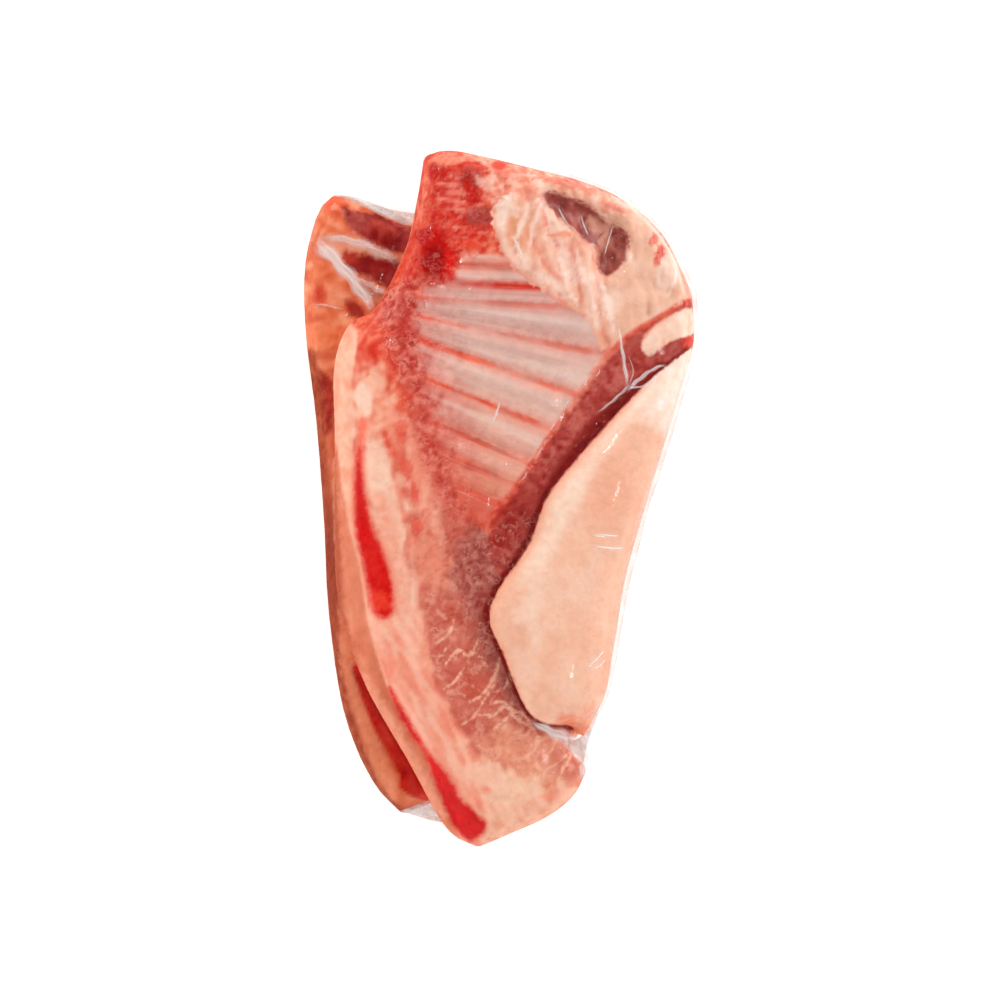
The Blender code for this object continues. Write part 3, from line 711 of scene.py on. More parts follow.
# %% Marks on the head, from its top down
ground.daubs((
    ((-41, 264), (14, 5), 4, 0.9, ((236, 112, 88), (244, 150, 122))),
    ((-1, 259), (6, 4), 0, 0.9, (224, 64, 44)),
    ((-52, 254), (4, 7), 0, 0.9, (196, 30, 26)),
    ((-23, 248), (9, 8), -40, 0.95, ((166, 40, 36), (190, 62, 54))),
    ((-12, 244), (8, 4), -30, 0.9, ((240, 160, 140), (248, 192, 172))),
    ((-23, 238), (4, 12), 12, 0.9, (200, 38, 30)),
    ((-14, 219), (14, 7), 6, 0.95, ((158, 52, 48), (184, 74, 66))),
))
for row in range(4):
    ground.daub((-38 + row, 244 - 6.5 * row), (9, 1.8), ((236, 122, 104), (244, 156, 136)), turn=-6,
                cover=0.7)
for spot, radii, turn, ragged, cover, tones in (
        ((-55, 203), (14, 7), -8, 0.25, 0.95, BLOOD[1:]),
        ((-47, 185), (15, 18), 0, 0.15, 0.95, ((188, 12, 10), (208, 28, 20))),
        ((-52, 184), (9, 13), -12, 0.25, 0.85, BLOOD[:2]),
        ((-38, 182), (4, 13), 6, 0.15, 0.9, ((216, 22, 16), (230, 44, 30))),
        ((-26, 198), (11, 4), -4, 0.25, 0.9, ((222, 52, 36), (236, 92, 66)))):
    ground.daub(spot, radii, tones, turn=turn, ragged=ragged, cover=cover)
ground.stroke(((-60, 262), (-68, 240), (-72, 214), (-84, 184), (-96, 158)), (3.0, 4.0, 3.5, 5.0, 5.0),
              ((222, 62, 40), (236, 96, 68)), soft=4.0, ragged=1.5)
ground.stroke(((-68, 200), (-74, 186), (-84, 168)), (1.5, 2.0, 1.0), (214, 50, 38), soft=2.5, cover=0.7)
ground.region([(-86, 150), (-64, 158), (-50, 152), (-46, 130), (-66, 126), (-84, 132)],
              ((170, 34, 34), (200, 66, 58), (236, 130, 110)), soft=7.0, ragged=4.0, sizes=FINE,
              contrast=1.6, cover=0.8)

# %% [markdown]
# The ribs lie side by side under a thin membrane, and red lean shows in the gaps between them. Drawing each
# rib by itself would need a dozen outlines. Instead each vertex gets one number, its place among the ribs: a
# whole number in the middle of a gap, and a half on the crown of a rib. Two canvases hold the tones of the
# gaps and of the crowns, and the material cuts the one against the other by that number.

# %% Follow the ribs
# The hub that each rib line crosses, the ribs' slope at several levels, and where their left ends lie
RIB_HUB_X = -10.0
RIB_SLOPES = ((0.0, -0.42), (60.0, -0.42), (110.0, -0.34), (153.0, -0.06), (190.0, 0.0))
RIB_ENDS = ((-20, -30), (0, -34), (60, -54), (118, -66), (167, -70))
# Each gap between ribs by its level at the hub: its half width, its tones at the left and at the right, and
# those of the rib above it
GAPS = (
    (-22.0, 2.0, (206, 66, 48), (212, 84, 66), (214, 92, 74), (216, 110, 90)),
    (0.0, 2.6, (214, 76, 54), (222, 98, 76), (222, 118, 96), (226, 146, 120)),
    (20.0, 2.4, (216, 82, 62), (226, 112, 88), (216, 110, 92), (228, 160, 138)),
    (41.0, 2.6, (214, 82, 64), (230, 116, 92), (208, 106, 92), (228, 174, 156)),
    (74.0, 2.4, (226, 78, 50), (236, 98, 70), (210, 120, 108), (228, 188, 172)),
    (105.0, 2.6, (220, 60, 42), (238, 110, 84), (212, 128, 116), (226, 188, 174)),
    (131.0, 2.2, (230, 98, 76), (226, 122, 104), (212, 138, 128), (224, 184, 172)),
    (153.0, 2.0, (218, 104, 90), (220, 130, 116), (216, 140, 128), (224, 172, 160)),
    (166.0, 3.6, (214, 48, 34), (212, 56, 42), (230, 150, 132), (232, 184, 170)),
    (181.0, 2.6, (212, 80, 62), (222, 104, 82), (222, 110, 90), (236, 150, 128)),
    (196.0, 2.0, (214, 84, 66), (226, 120, 98), (222, 110, 90), (236, 150, 128)),
)


def rib_level_of(spots):
    """The height at which the rib line through each place crosses the hub: the same all along a rib."""
    level = spots[:, 1].copy()
    for _ in range(6):
        slope = np.interp(level, *zip(*RIB_SLOPES))
        level = spots[:, 1] - slope * (spots[:, 0] - RIB_HUB_X)
    return level


def between_tones(place, knots, tones):
    values = np.array([linear(tone) for tone in tones])
    return np.column_stack([np.interp(place, knots, values[:, channel]) for channel in range(3)])


rib_level = rib_level_of(spots)
rib_count = np.arange(len(GAPS))
levels, gap_widths, gap_left, gap_right, crown_left, crown_right = zip(*GAPS)
rib_place = np.interp(rib_level, levels, rib_count)
left_edge = np.interp(spots[:, 1], *zip(*RIB_ENDS))
from_left = np.clip((spots[:, 0] - left_edge) / 44.0 + 0.18 * ground.noise(MIDDLE), 0, 1)[:, None]
print("The rib lines run from place %.1f to %.1f" % (rib_place.min(), rib_place.max()))

# %% Paint the ribs and their gaps
RIB_FIELD = (
    (-62, 158), (-50, 166), (-36, 171), (-33, 184), (-16, 190), (6, 188), (30, 176), (64, 150), (80, 118),
    (46, 58), (12, 5), (-10, -22), (-26, -16), (-40, 8), (-54, 50), (-66, 110), (-70, 140),
)

rib_gaps = Canvas(spots, fields, RED)
rib_crowns = Canvas(spots, fields, RED)
for canvas, knots, left_tones, right_tones in (
        (rib_gaps, rib_count, gap_left, gap_right), (rib_crowns, rib_count + 0.5, crown_left, crown_right)):
    left = between_tones(rib_place, knots, left_tones)
    canvas.colours = left + ease(from_left) * (between_tones(rib_place, knots, right_tones) - left)
    canvas.colours *= 1 + 0.07 * canvas.noise(MIDDLE)[:, None]
rib_gaps.daub((50, 122), (24, 3), (222, 130, 112), turn=-12, ragged=0.1, cover=0.5)
# Lilac-grey lines across three crowns, partly their own tone and partly painted shade on the ribs' curve
for line, widths, tone, cover in (
        (((-40, 128), (0, 116), (50, 106)), (0.5, 1.6, 2.0), (210, 172, 164), 0.5),
        (((-30, 148), (10, 140), (60, 132)), (1.0, 2.5, 2.0), (208, 166, 158), 0.6),
        (((-20, 96), (10, 86), (40, 72)), (0.5, 1.6, 2.0), (214, 174, 162), 0.5)):
    rib_crowns.stroke(line, widths, tone, soft=4.0, cover=cover)
rib_fade = ease(depth_inside(spots, RIB_FIELD) / 7.0 + 0.5 + 0.35 * ground.noise(FINE))
rib_fade *= ease(0.35 + 2.2 * from_left[:, 0])

# %% Mottled red membrane, over which the ribs' left ends fade out
ground.region([(-96, 150), (-74, 168), (-50, 172), (-30, 150), (-30, 100), (-34, 50), (-20, 0), (-30, -20),
               (-50, 8), (-66, 60), (-82, 110)],
              ((188, 58, 52), (208, 88, 74), (228, 128, 110)), soft=12.0, ragged=5.0, sizes=FINE,
              contrast=1.4, cover=0.85)
ground.stroke(((-62, 157), (-30, 159), (0, 160)), (5.0, 3.5, 1.5), ((222, 92, 72), (236, 128, 104)),
              soft=6.0, ragged=2.0, cover=0.8)
ground.daub((-72, 134), (7, 12), ((188, 40, 36), (206, 66, 56)), turn=10, ragged=0.5, cover=0.8)
ground.daub((-62, 120), (8, 8), ((190, 66, 60), (214, 110, 98)), turn=10, ragged=0.5, cover=0.7)

# %% [markdown]
# Beside the ribs' upper ends lies a pad of hard fat, with a dark hollow in it, and down the ribs' right side
# runs a band of dark muscle. Their edges are sharp, so each has a canvas of its own. The pad's folds get
# painted shade and its ridges painted highlights, from the same noise as its relief.

# %% Fat pad, with folds that follow its relief
PAD_SMOOTH = (
    (84, 172), (100, 186), (104, 206), (120, 208), (136, 190), (150, 160), (130, 142), (104, 130),
    (90, 124),
)

pad = Canvas(spots, fields, ((238, 170, 142), (243, 184, 158), (247, 198, 176)), BROAD)
pad_right = ease(depth_inside(spots, PAD_SMOOTH) / 10.0 + 0.5)
# Painted shade in the folds and painted highlights on the ridges, by the relief's own noise
pad.lay(0.75 * (1 - 0.8 * pad_right) * ease(-1.5 * pad_folds), ((228, 134, 110), (238, 160, 136)))
pad.lay(0.8 * (1 - 0.5 * pad_right) * ease(1.5 * pad_folds), ((250, 210, 190), (252, 224, 208)))
pad.lay(0.8 * pad_right, ((234, 178, 150), (240, 190, 164), (247, 208, 186)), BROAD)
# A reddish line along the pad's lower edge: painted shade where the pad meets the ribs
pad.stroke(((-4, 222), (-3, 202), (6, 184), (24, 168), (44, 154), (64, 138), (76, 118)),
           (1.0, 2.0, 2.0, 2.0, 2.0), ((222, 116, 102), (236, 148, 132)), soft=4.0, ragged=1.5, cover=0.7)
pad.stroke(((1, 224), (5, 204), (14, 188), (30, 174), (50, 160), (68, 144)), (2.5, 3.0, 3.0, 3.0, 2.0),
           ((248, 206, 186), (252, 224, 208)), soft=5.0, ragged=2.5, cover=0.7)
pad.stroke(((44, 204), (50, 196), (60, 186)), (1.0, 1.6, 1.0), ((216, 78, 60), (234, 122, 100)),
           ragged=2.0, cover=0.8)
pad.daubs((
    ((13, 206), (9, 16), 0, 0.85, ((226, 140, 100), (238, 164, 128))),
    ((78, 150), (11, 15), -20, 0.8, ((250, 208, 186), (252, 218, 198))),
    ((0, 220), (4, 9), 0, 0.8, ((250, 208, 190), (252, 222, 206))),
))

# %% The pad's folds and ridges, with painted highlights and painted shade
PAD_RIDGE_SHADE = 2.4

# Pale strokes down two lobes: painted highlights
pad.stroke(((22, 236), (20, 222), (14, 208), (10, 194)), (1.2, 1.8, 1.8, 1.2),
           ((252, 222, 206), (248, 206, 186)), ragged=1.5)
pad.stroke(((34, 224), (40, 206), (50, 188), (58, 170)), (3.0, 4.0, 5.0, 3.0),
           ((250, 206, 186), (252, 220, 204)), soft=5.0, ragged=2.0, cover=0.8)
for line, widths, cover, tones in (
        (((30, 232), (36, 212), (44, 196)), (1.2, 1.6, 1.0), 0.8, ((222, 96, 78), (234, 130, 110))),
        (((24, 204), (32, 186), (46, 170)), (1.0, 1.6, 1.0), 0.8, ((228, 118, 98), (238, 146, 124))),
        (((68, 172), (74, 152), (82, 132)), (1.0, 1.6, 1.0), 0.7, ((232, 132, 108), (240, 160, 136))),
        (((38, 205), (48, 206), (58, 206)), (1.0, 2.2, 1.4), 0.8, ((232, 118, 82), (240, 148, 112)))):
    pad.stroke(line, widths, tones, ragged=2.0, cover=cover)
# Each ridge: painted shade a little to its left, a painted highlight along its crest
for line, widths in PAD_RIDGES:
    shaded = [(x - PAD_RIDGE_SHADE, y) for x, y in line]
    pad.stroke(shaded, widths, ((228, 138, 112), (238, 164, 138)), soft=4.0, ragged=1.6, cover=0.5)
    pad.stroke(line, widths, ((250, 208, 188), (253, 224, 210)), soft=3.5, ragged=1.4, cover=0.85)

# %% The pad's smooth right side and its rim
pad.daub((131, 180), (9, 18), ((249, 214, 194), (251, 222, 206)), turn=-22, cover=0.6)
pad.daub((106, 164), (14, 18), ((236, 178, 150), (242, 192, 166)), turn=-10, cover=0.6)
# A painted highlight down the pad's right edge
pad.stroke(((134, 189), (137, 175), (131, 159)), (0.6, 1.4, 0.8), ((253, 232, 220), (252, 222, 206)),
           soft=2.5, cover=0.8)
for spot, radii, turn, ragged, cover, tones in (
        ((50, 246), (20, 4), -12, 0.6, 0.85, ((216, 84, 66), (236, 140, 116))),
        ((20, 238), (12, 7), -20, 0.5, 0.8, ((232, 118, 94), (244, 164, 138))),
        ((68, 240), (10, 3), -20, 0.5, 0.8, ((226, 110, 92), (240, 150, 128))),
        ((88, 226), (12, 3), -28, 0.5, 0.8, ((214, 96, 80), (236, 150, 130))),
        ((92, 216), (9, 7), -20, 0.4, 0.85, ((206, 146, 118), (228, 176, 148))),
        ((124, 190), (3.5, 9), -18, 0.5, 0.95, ((206, 48, 38), (226, 102, 84))),
        ((119, 202), (3, 7), -30, 0.5, 0.9, ((210, 64, 50), (232, 120, 100)))):
    pad.daub(spot, radii, tones, turn=turn, ragged=ragged, cover=cover)
pad.stroke(((112, 222), (130, 200), (142, 174), (149, 150)), (1.0, 1.6, 1.8, 1.4),
           ((222, 112, 92), (236, 150, 130)), ragged=1.5, cover=0.8)
# A pale line of painted glints along the pad's rim
pad.stroke(((98, 230), (118, 212), (134, 188), (143, 160)), (0.8, 1.4, 1.6, 1.0),
           ((252, 226, 212), (250, 214, 198)), cover=0.8)

# %% Hollow, muscle band, its rim and the fat wedge
hollow = Canvas(spots, fields, ((138, 52, 48), (164, 76, 68), (190, 110, 98)))
# The first pale dab is painted reflection, where the film spans the hollow
hollow.daub((76, 212), (12, 6), ((214, 142, 118), (228, 170, 148)), turn=-30, cover=0.85)
hollow.daub((82, 198), (7, 8), ((206, 130, 108), (222, 160, 138)), turn=10, cover=0.7)
hollow.daub((84, 186), (6, 10), ((150, 62, 54), (172, 84, 72)), cover=0.8)
band = Canvas(spots, fields, ((154, 44, 42), (180, 74, 66), (202, 110, 98)), FINE)
band.region([(60, 96), (84, 122), (128, 142), (126, 126), (96, 110), (76, 92)],
            ((168, 60, 54), (192, 98, 88)), soft=8.0, cover=0.7)
band.stroke(((-8, -22), (-2, -12), (8, 2)), (4.0, 4.0, 2.0), ((206, 50, 40), (222, 86, 68)), soft=5.0,
            ragged=2.0, cover=0.8)
# Painted shadow beside the fold's lip, over the band's own dark red
band.stroke(((146, 118), (120, 100), (84, 66), (44, 16), (28, -24)), (4.0, 5.0, 6.0, 5.0, 6.0),
            ((124, 14, 14), (148, 28, 24)), soft=8.0, ragged=2.0, cover=0.85)
band.daub((8, -14), (13, 26), ((142, 32, 28), (168, 50, 42)), turn=-30, soft=1.0, cover=0.7)
band.daub((149, 123), (8, 6), ((214, 50, 36), (228, 90, 66)), cover=0.95)
band.daub((130, 113), (8, 6), ((176, 74, 68), (196, 100, 92)), turn=30, cover=0.8)
band.daub((92, 92), (9, 6), ((190, 90, 82), (206, 116, 106)), turn=45, ragged=0.4, cover=0.7)
rim = Canvas(spots, fields, ((190, 50, 42), (212, 78, 62), (232, 120, 98)), FINE)
rim.daub((64, 90), (42, 14), ((212, 104, 86), (234, 150, 128)), turn=55, soft=1.0, cover=0.8)
wedge = Canvas(spots, fields, ((242, 188, 160), (248, 206, 184), (251, 218, 200)))
wedge.stroke(((108, 118), (112, 128), (124, 140), (142, 149)), (1.0, 2.0, 2.0, 1.5),
             ((238, 122, 90), (244, 152, 122)), cover=0.9)

# %% [markdown]
# The belly edge is folded back over the cut face. It is fat of nearly one tone, so wide soft strokes do most
# here: a painted highlight along its ridge, and painted shade where it turns down at both sides.

# %% Folded belly edge: painted highlight on the ridge, painted shade on the fold
flap = Canvas(spots, fields, ((242, 180, 152), (246, 190, 163), (248, 199, 174)), BROAD)
# Painted highlight on the fold's top end
flap.region([(150, 118), (120, 96), (100, 76), (110, 66), (130, 78), (146, 96)],
            ((246, 206, 186), (252, 228, 216)), soft=10.0, sizes=FINE, contrast=1.5)
for level in (0, 14, 28):
    line = ((140 - level, 104 - level), (120 - level, 78 - 1.4 * level), (108 - level, 50 - 1.5 * level))
    flap.stroke(line, (0.8, 1.4, 0.8), ((240, 170, 146), (246, 190, 166)), soft=4.0, cover=0.5)
# Painted shade where the fold turns down on its right side
flap.stroke(((80, -150), (87, -112), (95, -62), (110, -4), (131, 66)), (5.0, 5.0, 5.0, 5.0, 3.0),
            ((228, 156, 128), (238, 176, 148)), soft=9.0, cover=0.75)
# Painted highlights along the ridge, inside the free edge
flap.stroke(((150, 118), (112, 76), (74, 34), (58, 2), (36, -36), (16, -66)), (7.0, 7.0, 6.0, 6.0, 5.0, 4.0),
            ((249, 210, 186), (252, 222, 200)), soft=14.0, ragged=2.0, cover=0.7)
flap.stroke(((46, -16), (32, -46), (24, -80), (28, -112)), (6.0, 5.0, 6.0, 5.0),
            ((250, 212, 188), (251, 218, 196)), soft=12.0, ragged=2.0, cover=0.6)
flap.daub((68, -70), (9, 32), ((245, 202, 180), (246, 206, 184)), turn=-14, soft=1.0, cover=0.5)
# Painted shade where the surface turns down to the free edge
flap.stroke(FLAP_FREE[1:8], (2.0, 2.6, 2.6), ((232, 146, 116), (242, 168, 138)), soft=7.0, cover=0.7)
# More painted highlight on the top end
flap.region([(136, 112), (154, 116), (140, 70), (126, 50), (112, 64), (122, 92)],
            ((248, 214, 196), (251, 224, 210)), soft=14.0, cover=0.8)
# Painted shade where the nose turns down
flap.stroke(((22, -36), (0, -68), (-8, -92), (2, -120), (18, -158)), (3.0, 5.0, 5.0, 4.0, 2.0),
            ((242, 168, 136), (246, 184, 154)), soft=6.0, ragged=1.5, cover=0.8)

# %% Dabs on the folded edge
flap.daub((106, 10), (16, 26), ((244, 172, 142), (248, 188, 160)), turn=-14, soft=1.0, cover=0.7)
flap.daub((84, -60), (12, 30), ((246, 184, 156), (248, 192, 166)), turn=-10, soft=1.0, cover=0.6)
flap.daub((60, -178), (16, 9), ((234, 108, 72), (242, 142, 108)), turn=-30)
flap.stroke(((72, -158), (67, -168), (61, -180)), (1.0, 5.0, 4.0), ((238, 122, 86), (244, 150, 116)),
            soft=9.0, ragged=2.0, cover=0.7)
# The palest dabs, at (54, 4), (36, -76) and (20, -86), are painted highlight on the ridge, and the small
# near-white one at (125, 73) is a painted glint
for spot, radii, turn, soft, cover, tones in (
        ((70, -170), (14, 5), 30, 0.7, 0.7, ((242, 164, 132), (246, 184, 154))),
        ((54, 4), (8, 24), -38, 1.0, 0.6, ((251, 214, 190), (253, 226, 206))),
        ((82, 8), (14, 20), -20, 1.0, 0.6, ((243, 166, 134), (247, 182, 152))),
        ((96, 44), (9, 16), -30, 1.0, 0.5, ((244, 172, 140), (248, 188, 158))),
        ((36, -76), (10, 26), 20, 1.0, 0.5, ((250, 204, 178), (252, 214, 190))),
        ((62, -100), (12, 22), -10, 1.0, 0.5, ((243, 178, 150), (247, 190, 162))),
        ((125, 73), (6, 4), 20, 0.7, 0.7, ((253, 226, 218), (253, 232, 226))),
        ((20, -86), (14, 9), 40, 0.7, 0.5, ((249, 208, 184), (250, 214, 192)))):
    flap.daub(spot, radii, tones, turn=turn, soft=soft, cover=cover)

# %% Blood streaks, veins and the painted shadow in the crevice under the folded edge
streaks = Canvas(spots, fields, ((206, 0, 4), (216, 4, 8), (224, 20, 14)))
streaks.daub((-95, -80), (10, 9), ((238, 56, 40), (244, 74, 54)), turn=12, ragged=0.4, cover=0.8)
streaks.daub((-96, -48), (8, 20), ((220, 34, 28), (228, 48, 40)), turn=10, ragged=0.4, cover=0.6)
vein_tone = Canvas(spots, fields, ((240, 160, 134), (248, 188, 160)))
# Dark red in the crevice under the fold's lip: the lean's own colour, deepened as painted shadow
crevice_shade = Canvas(spots, fields, ((120, 10, 12), (142, 20, 20)))

# %% [markdown]
# A canvas says what colour a tissue has, and a distance says where the tissue ends. These are the distances,
# in millimetres, above zero inside the tissue. Where the fold hangs over the lean, the mesh bends down under
# its lip, so there the height decides as well, and the crevice below the lip is painted dark red, as painted
# shadow.

# %% Distances that cut the canvases out
# How high the fold's lip stands at several levels of the drawing
FLAP_LIP = ((-186, 66), (-160, 72), (-120, 74), (-60, 76), (4, 80), (50, 78), (90, 76), (117, 64))
FAT_WEDGE = (
    (109, 121), (114, 130), (125, 140), (140, 147), (150, 148), (154, 140), (152, 130), (140, 125),
    (130, 121), (122, 115), (115, 111), (110, 115),
)
THREADS = (
    (((-42, -128), (-32, -117), (-24, -122), (-18, -110)), (0.8, 1.3, 0.8)),
    (((-24, -158), (-12, -150), (-4, -136), (0, -122)), (0.7, 1.4, 0.8)),
    (((-8, -170), (4, -162), (12, -170), (23, -176)), (0.8, 1.5, 0.9)),
    (((-2, -150), (6, -142), (4, -130)), (0.8, 1.2, 0.5)),
    (((14, -204), (26, -196), (31, -184)), (0.6, 1.2, 0.7)),
    (((-50, -112), (-40, -104), (-36, -94)), (0.5, 1.0, 0.5)),
    (((30, -208), (38, -198), (44, -186)), (0.6, 1.2, 0.5)),
    (((44, -220), (50, -208), (56, -198)), (0.6, 1.2, 0.5)),
    (((20, -222), (28, -212), (26, -200)), (0.5, 1.1, 0.5)),
    (((-30, -176), (-20, -168), (-14, -158)), (0.5, 1.0, 0.5)),
    (((-44, -148), (-34, -140), (-28, -130)), (0.5, 1.0, 0.5)),
)


def deepest(strokes):
    return np.max([depth_along(spots, line, widths) for line, widths in strokes], axis=0)


# A narrow nick parts the fold's top from the muscle band
nick = depth_along(spots, ((155, 122), (148, 122), (138, 119), (131, 114), (126, 107), (119, 98)),
                   (4.2, 4.2, 3.2, 3.4, 3.6, 2.0))
# Beside its free edge the fold stands over the lean: what lies lower than its lip gets the crevice's painted
# shadow
beside_flap = np.interp(spots[:, 1], *zip(*FLAP_LIP))
beyond_fold = depth_inside(spots, (*FLAP_FOLD, *BEYOND_FOLD))
near_free_edge = (depth_along(spots, FLAP_FREE[1:-1], (14.0, 14.0)) > 0) & (flap_depth > -0.5)
near_free_edge &= (beyond_fold < -8) & (spots[:, 1] < 84)
near_fold = ease((beyond_fold + 18) / 10.0)
lift = np.where(near_free_edge, spots[:, 2] - beside_flap - 3.0 + 6.0 * near_fold, REACH)
crevice_shade_line = depth_along(spots, FLAP_FREE, (1.5, 3.8, 4.4, 4.2, 4.4, 3.4, 2.0))
crisp = {
    "streak_depth": np.maximum(depth_along(spots, STREAK_UP, STREAK_UP_WIDTHS),
                               depth_inside(spots, STREAK_LOW_EDGE)),
    "vein_depth": deepest(VEINS + THREADS),
    "pad_depth": depth_inside(spots, FAT_PAD),
    "hollow_depth": depth_inside(spots, HOLLOW),
    "band_depth": depth_inside(spots, MUSCLE_BAND),
    "rim_side": ease(depth_along(spots, BAND_RIM, (12.0, 12.0)) / 6.0),
    "wedge_depth": depth_inside(spots, FAT_WEDGE),
    "crevice_shade_depth": np.maximum(crevice_shade_line, -lift),
    "flap_depth": np.minimum(np.minimum(flap_depth, -nick), lift),
}
for name, values in crisp.items():
    keep_value(mesh, name, values)

# %% Walls and underside: skin below, then fat with a streak of lean in it
height_up = spots[:, 2] + 1.5 * ground.noise(BROAD)
wall = ease((0.35 - up) / 0.3) * (1 - 0.9 * on_skin_edge)
lean_line = ease(1 - np.abs(height_up - 24) / 5.0)
head_end = ease((spots[:, 1] - 238) / 14.0)
# The first tone is painted shade on the skin edge's steep walls, which face away from the light
for mask, tones, sizes in (
        (ease((0.3 - up) / 0.3) * on_skin_edge, ((172, 74, 44), (194, 96, 62)), BROAD),
        (0.75 * wall, ((240, 150, 122), (247, 176, 148), (250, 194, 166)), BROAD),
        (0.7 * wall * lean_line, ((206, 76, 62), (224, 104, 86)), MIDDLE),
        (0.8 * wall * head_end, ((206, 62, 46), (228, 104, 82), (242, 150, 124)), MIDDLE),
        (ease((-0.1 - up) / 0.3), ((232, 158, 122), (240, 176, 142), (246, 192, 160)), BROAD)):
    ground.lay(mask, tones, sizes)
for name, canvas in (("ground", ground), ("pad", pad), ("hollow", hollow), ("band", band), ("rim", rim),
                     ("wedge", wedge), ("flap", flap), ("streaks", streaks), ("vein_tone", vein_tone),
                     ("rib_gaps", rib_gaps), ("rib_crowns", rib_crowns), ("crevice_shade", crevice_shade)):
    canvas.keep(mesh, name)

# %% Where the lean is marbled and the membranes bubble
LEAN = (
    (-92, 150), (-40, 160), (-40, 60), (-14, -14), (16, 0), (30, -30), (-4, -86), (26, -166), (62, -196),
    (50, -232), (10, -228), (-22, -204), (-50, -140), (-62, -86), (-74, -40), (-74, 40),
)
MARBLED = (
    (-62, -80), (-20, -60), (0, -100), (20, -160), (56, -190), (58, -230), (10, -226), (-24, -200),
    (-50, -140),
)
SPONGE = ((-92, 160), (-60, 172), (-34, 150), (-40, 60), (-20, 0), (-40, -14), (-58, 20), (-80, 80))
SPONGE_TOP = ((-92, 160), (-60, 172), (-34, 150), (-44, 110), (-84, 104))
WINE_FIELD = ((-30, -40), (0, -20), (16, -10), (30, -30), (0, -80), (-4, -120), (-20, -110), (-36, -70))

pale_parts = ease(np.maximum(crisp["pad_depth"], crisp["flap_depth"]) / 4.0 + 0.5)
rib_spacing = np.interp(rib_place, rib_count[:-1] + 0.5, np.diff(levels))
# bubbly sets where the membranes get painted highlights and dark spots
bubbly = np.zeros(len(spots))
for outline, strength in (
        (LEAN, 0.35), (SPONGE, 0.55), (SPONGE_TOP, 0.9), (BONY_HEAD, 0.4), (WINE_FIELD, 0.7)):
    bubbly += ease(depth_inside(spots, outline) / 12.0 + 0.5) * (strength - bubbly)
for name, values in (
        ("marbling", ease(depth_inside(spots, MARBLED) / 14.0 + 0.5) * (1 - pale_parts)),
        ("bubbly", bubbly * (1 - pale_parts) + 0.3 * ease(crisp["pad_depth"] / 4.0)),
        ("rib_place", rib_place), ("rib_fade", rib_fade),
        ("rib_width", np.interp(rib_place, rib_count, gap_widths) / rib_spacing)):
    keep_value(mesh, name, values)
print("The front slab has", len(mesh.attributes), "attributes")

# %% [markdown]
# The back slab is painted in the same way. Skin covers what shows of it, tanned and smooth, with a red streak
# at the foot and lean showing between the ends of its ribs. Its left edge and steep sides get painted shade.

# %% Paint the back slab's skin
back_mesh = back.data
spots = places_of(back_mesh)
back_fields = noise_fields(spots, 20.0)
skin = Canvas(spots, back_fields, ((198, 84, 50), (218, 108, 72), (232, 138, 100)), BROAD)
skin.region([(-140, 236), (-118, 240), (-70, 222), (-60, 190), (-80, 150), (-110, 120), (-140, 100),
             (-154, 120), (-158, 180), (-150, 220)],
            ((218, 94, 58), (234, 122, 84), (246, 160, 122)), soft=8.0)
skin.daub((-130, 229), (9, 8), ((226, 74, 46), (238, 104, 70)), ragged=0.5)
skin.daub((-130, 229), (3, 3), ((246, 150, 112), (248, 160, 122)))
skin.stroke(((-118, 236), (-92, 230), (-70, 220)), (3.0, 4.0, 3.0), ((246, 168, 140), (240, 140, 108)),
            soft=4.0)
skin.stroke(((-140, 203), (-116, 201), (-96, 192), (-76, 184)), (4.0, 5.0, 5.0, 4.0),
            ((222, 132, 102), (232, 156, 128)), soft=4.0)
skin.daub((-142, 160), (5, 8), ((204, 52, 40), (222, 88, 64)), ragged=0.4)
skin.daubs((
    ((-114, 148), (9, 6), -40, 0.9, ((146, 22, 20), (170, 40, 32))),
    ((-98, 160), (14, 4), -30, 0.7, ((176, 104, 88), (198, 132, 112))),
    ((-142, 128), (16, 9), -10, 0.9, ((234, 116, 74), (244, 140, 98))),
    ((-138, 112), (14, 3), 4, 0.9, ((206, 92, 58), (220, 110, 74))),
))
skin.region([(-152, 100), (-141, 100), (-131, 89), (-130, 66), (-136, 50), (-146, 60), (-150, 80)],
            ((134, 20, 12), (158, 36, 24), (184, 62, 42)), soft=5.0)
# This stroke and the dab after it are painted shade down the left edge, in the front slab's shadow where the
# side turns away
skin.stroke(((-150, 112), (-145, 77), (-141, 38), (-137, -1), (-135, -40), (-133, -80), (-129, -118),
             (-122, -158), (-109, -198), (-96, -224), (-80, -246)),
            (6.0, 5.5, 5.0, 5.5, 6.0, 5.5, 5.0, 4.5, 3.5),
            ((142, 50, 24), (166, 68, 38), (188, 88, 54)), soft=6.0, ragged=1.5, cover=0.95)
skin.daub((-132, -50), (6, 46), ((132, 38, 14), (156, 56, 28)), turn=3, soft=1.0, cover=0.7)
skin.stroke(((-130, 30), (-127, -20), (-124, -60), (-119, -95)), (1.5, 2.5, 3.0, 2.0),
            ((240, 150, 116), (248, 174, 142)), soft=3.5, cover=0.8)
skin.stroke(((-122, -110), (-114, -150), (-104, -180), (-94, -210), (-84, -232)), (5.0, 6.0, 6.0, 6.0, 4.0),
            ((226, 122, 88), (236, 146, 110)), soft=7.0, cover=0.8)
skin.region(BACK_STREAK, ((184, 20, 12), (202, 34, 24), (214, 58, 44)), soft=3.5, ragged=1.0)
skin.stroke(((-116, -134), (-100, -160), (-84, -184), (-70, -208), (-60, -226)), (1.0, 2.0, 2.0, 2.0, 1.0),
            ((140, 14, 10), (160, 26, 18)), soft=4.0, cover=0.7)

# %% The back slab's sides and its lean
back_slope = normals_of(back_mesh)[:, 2]
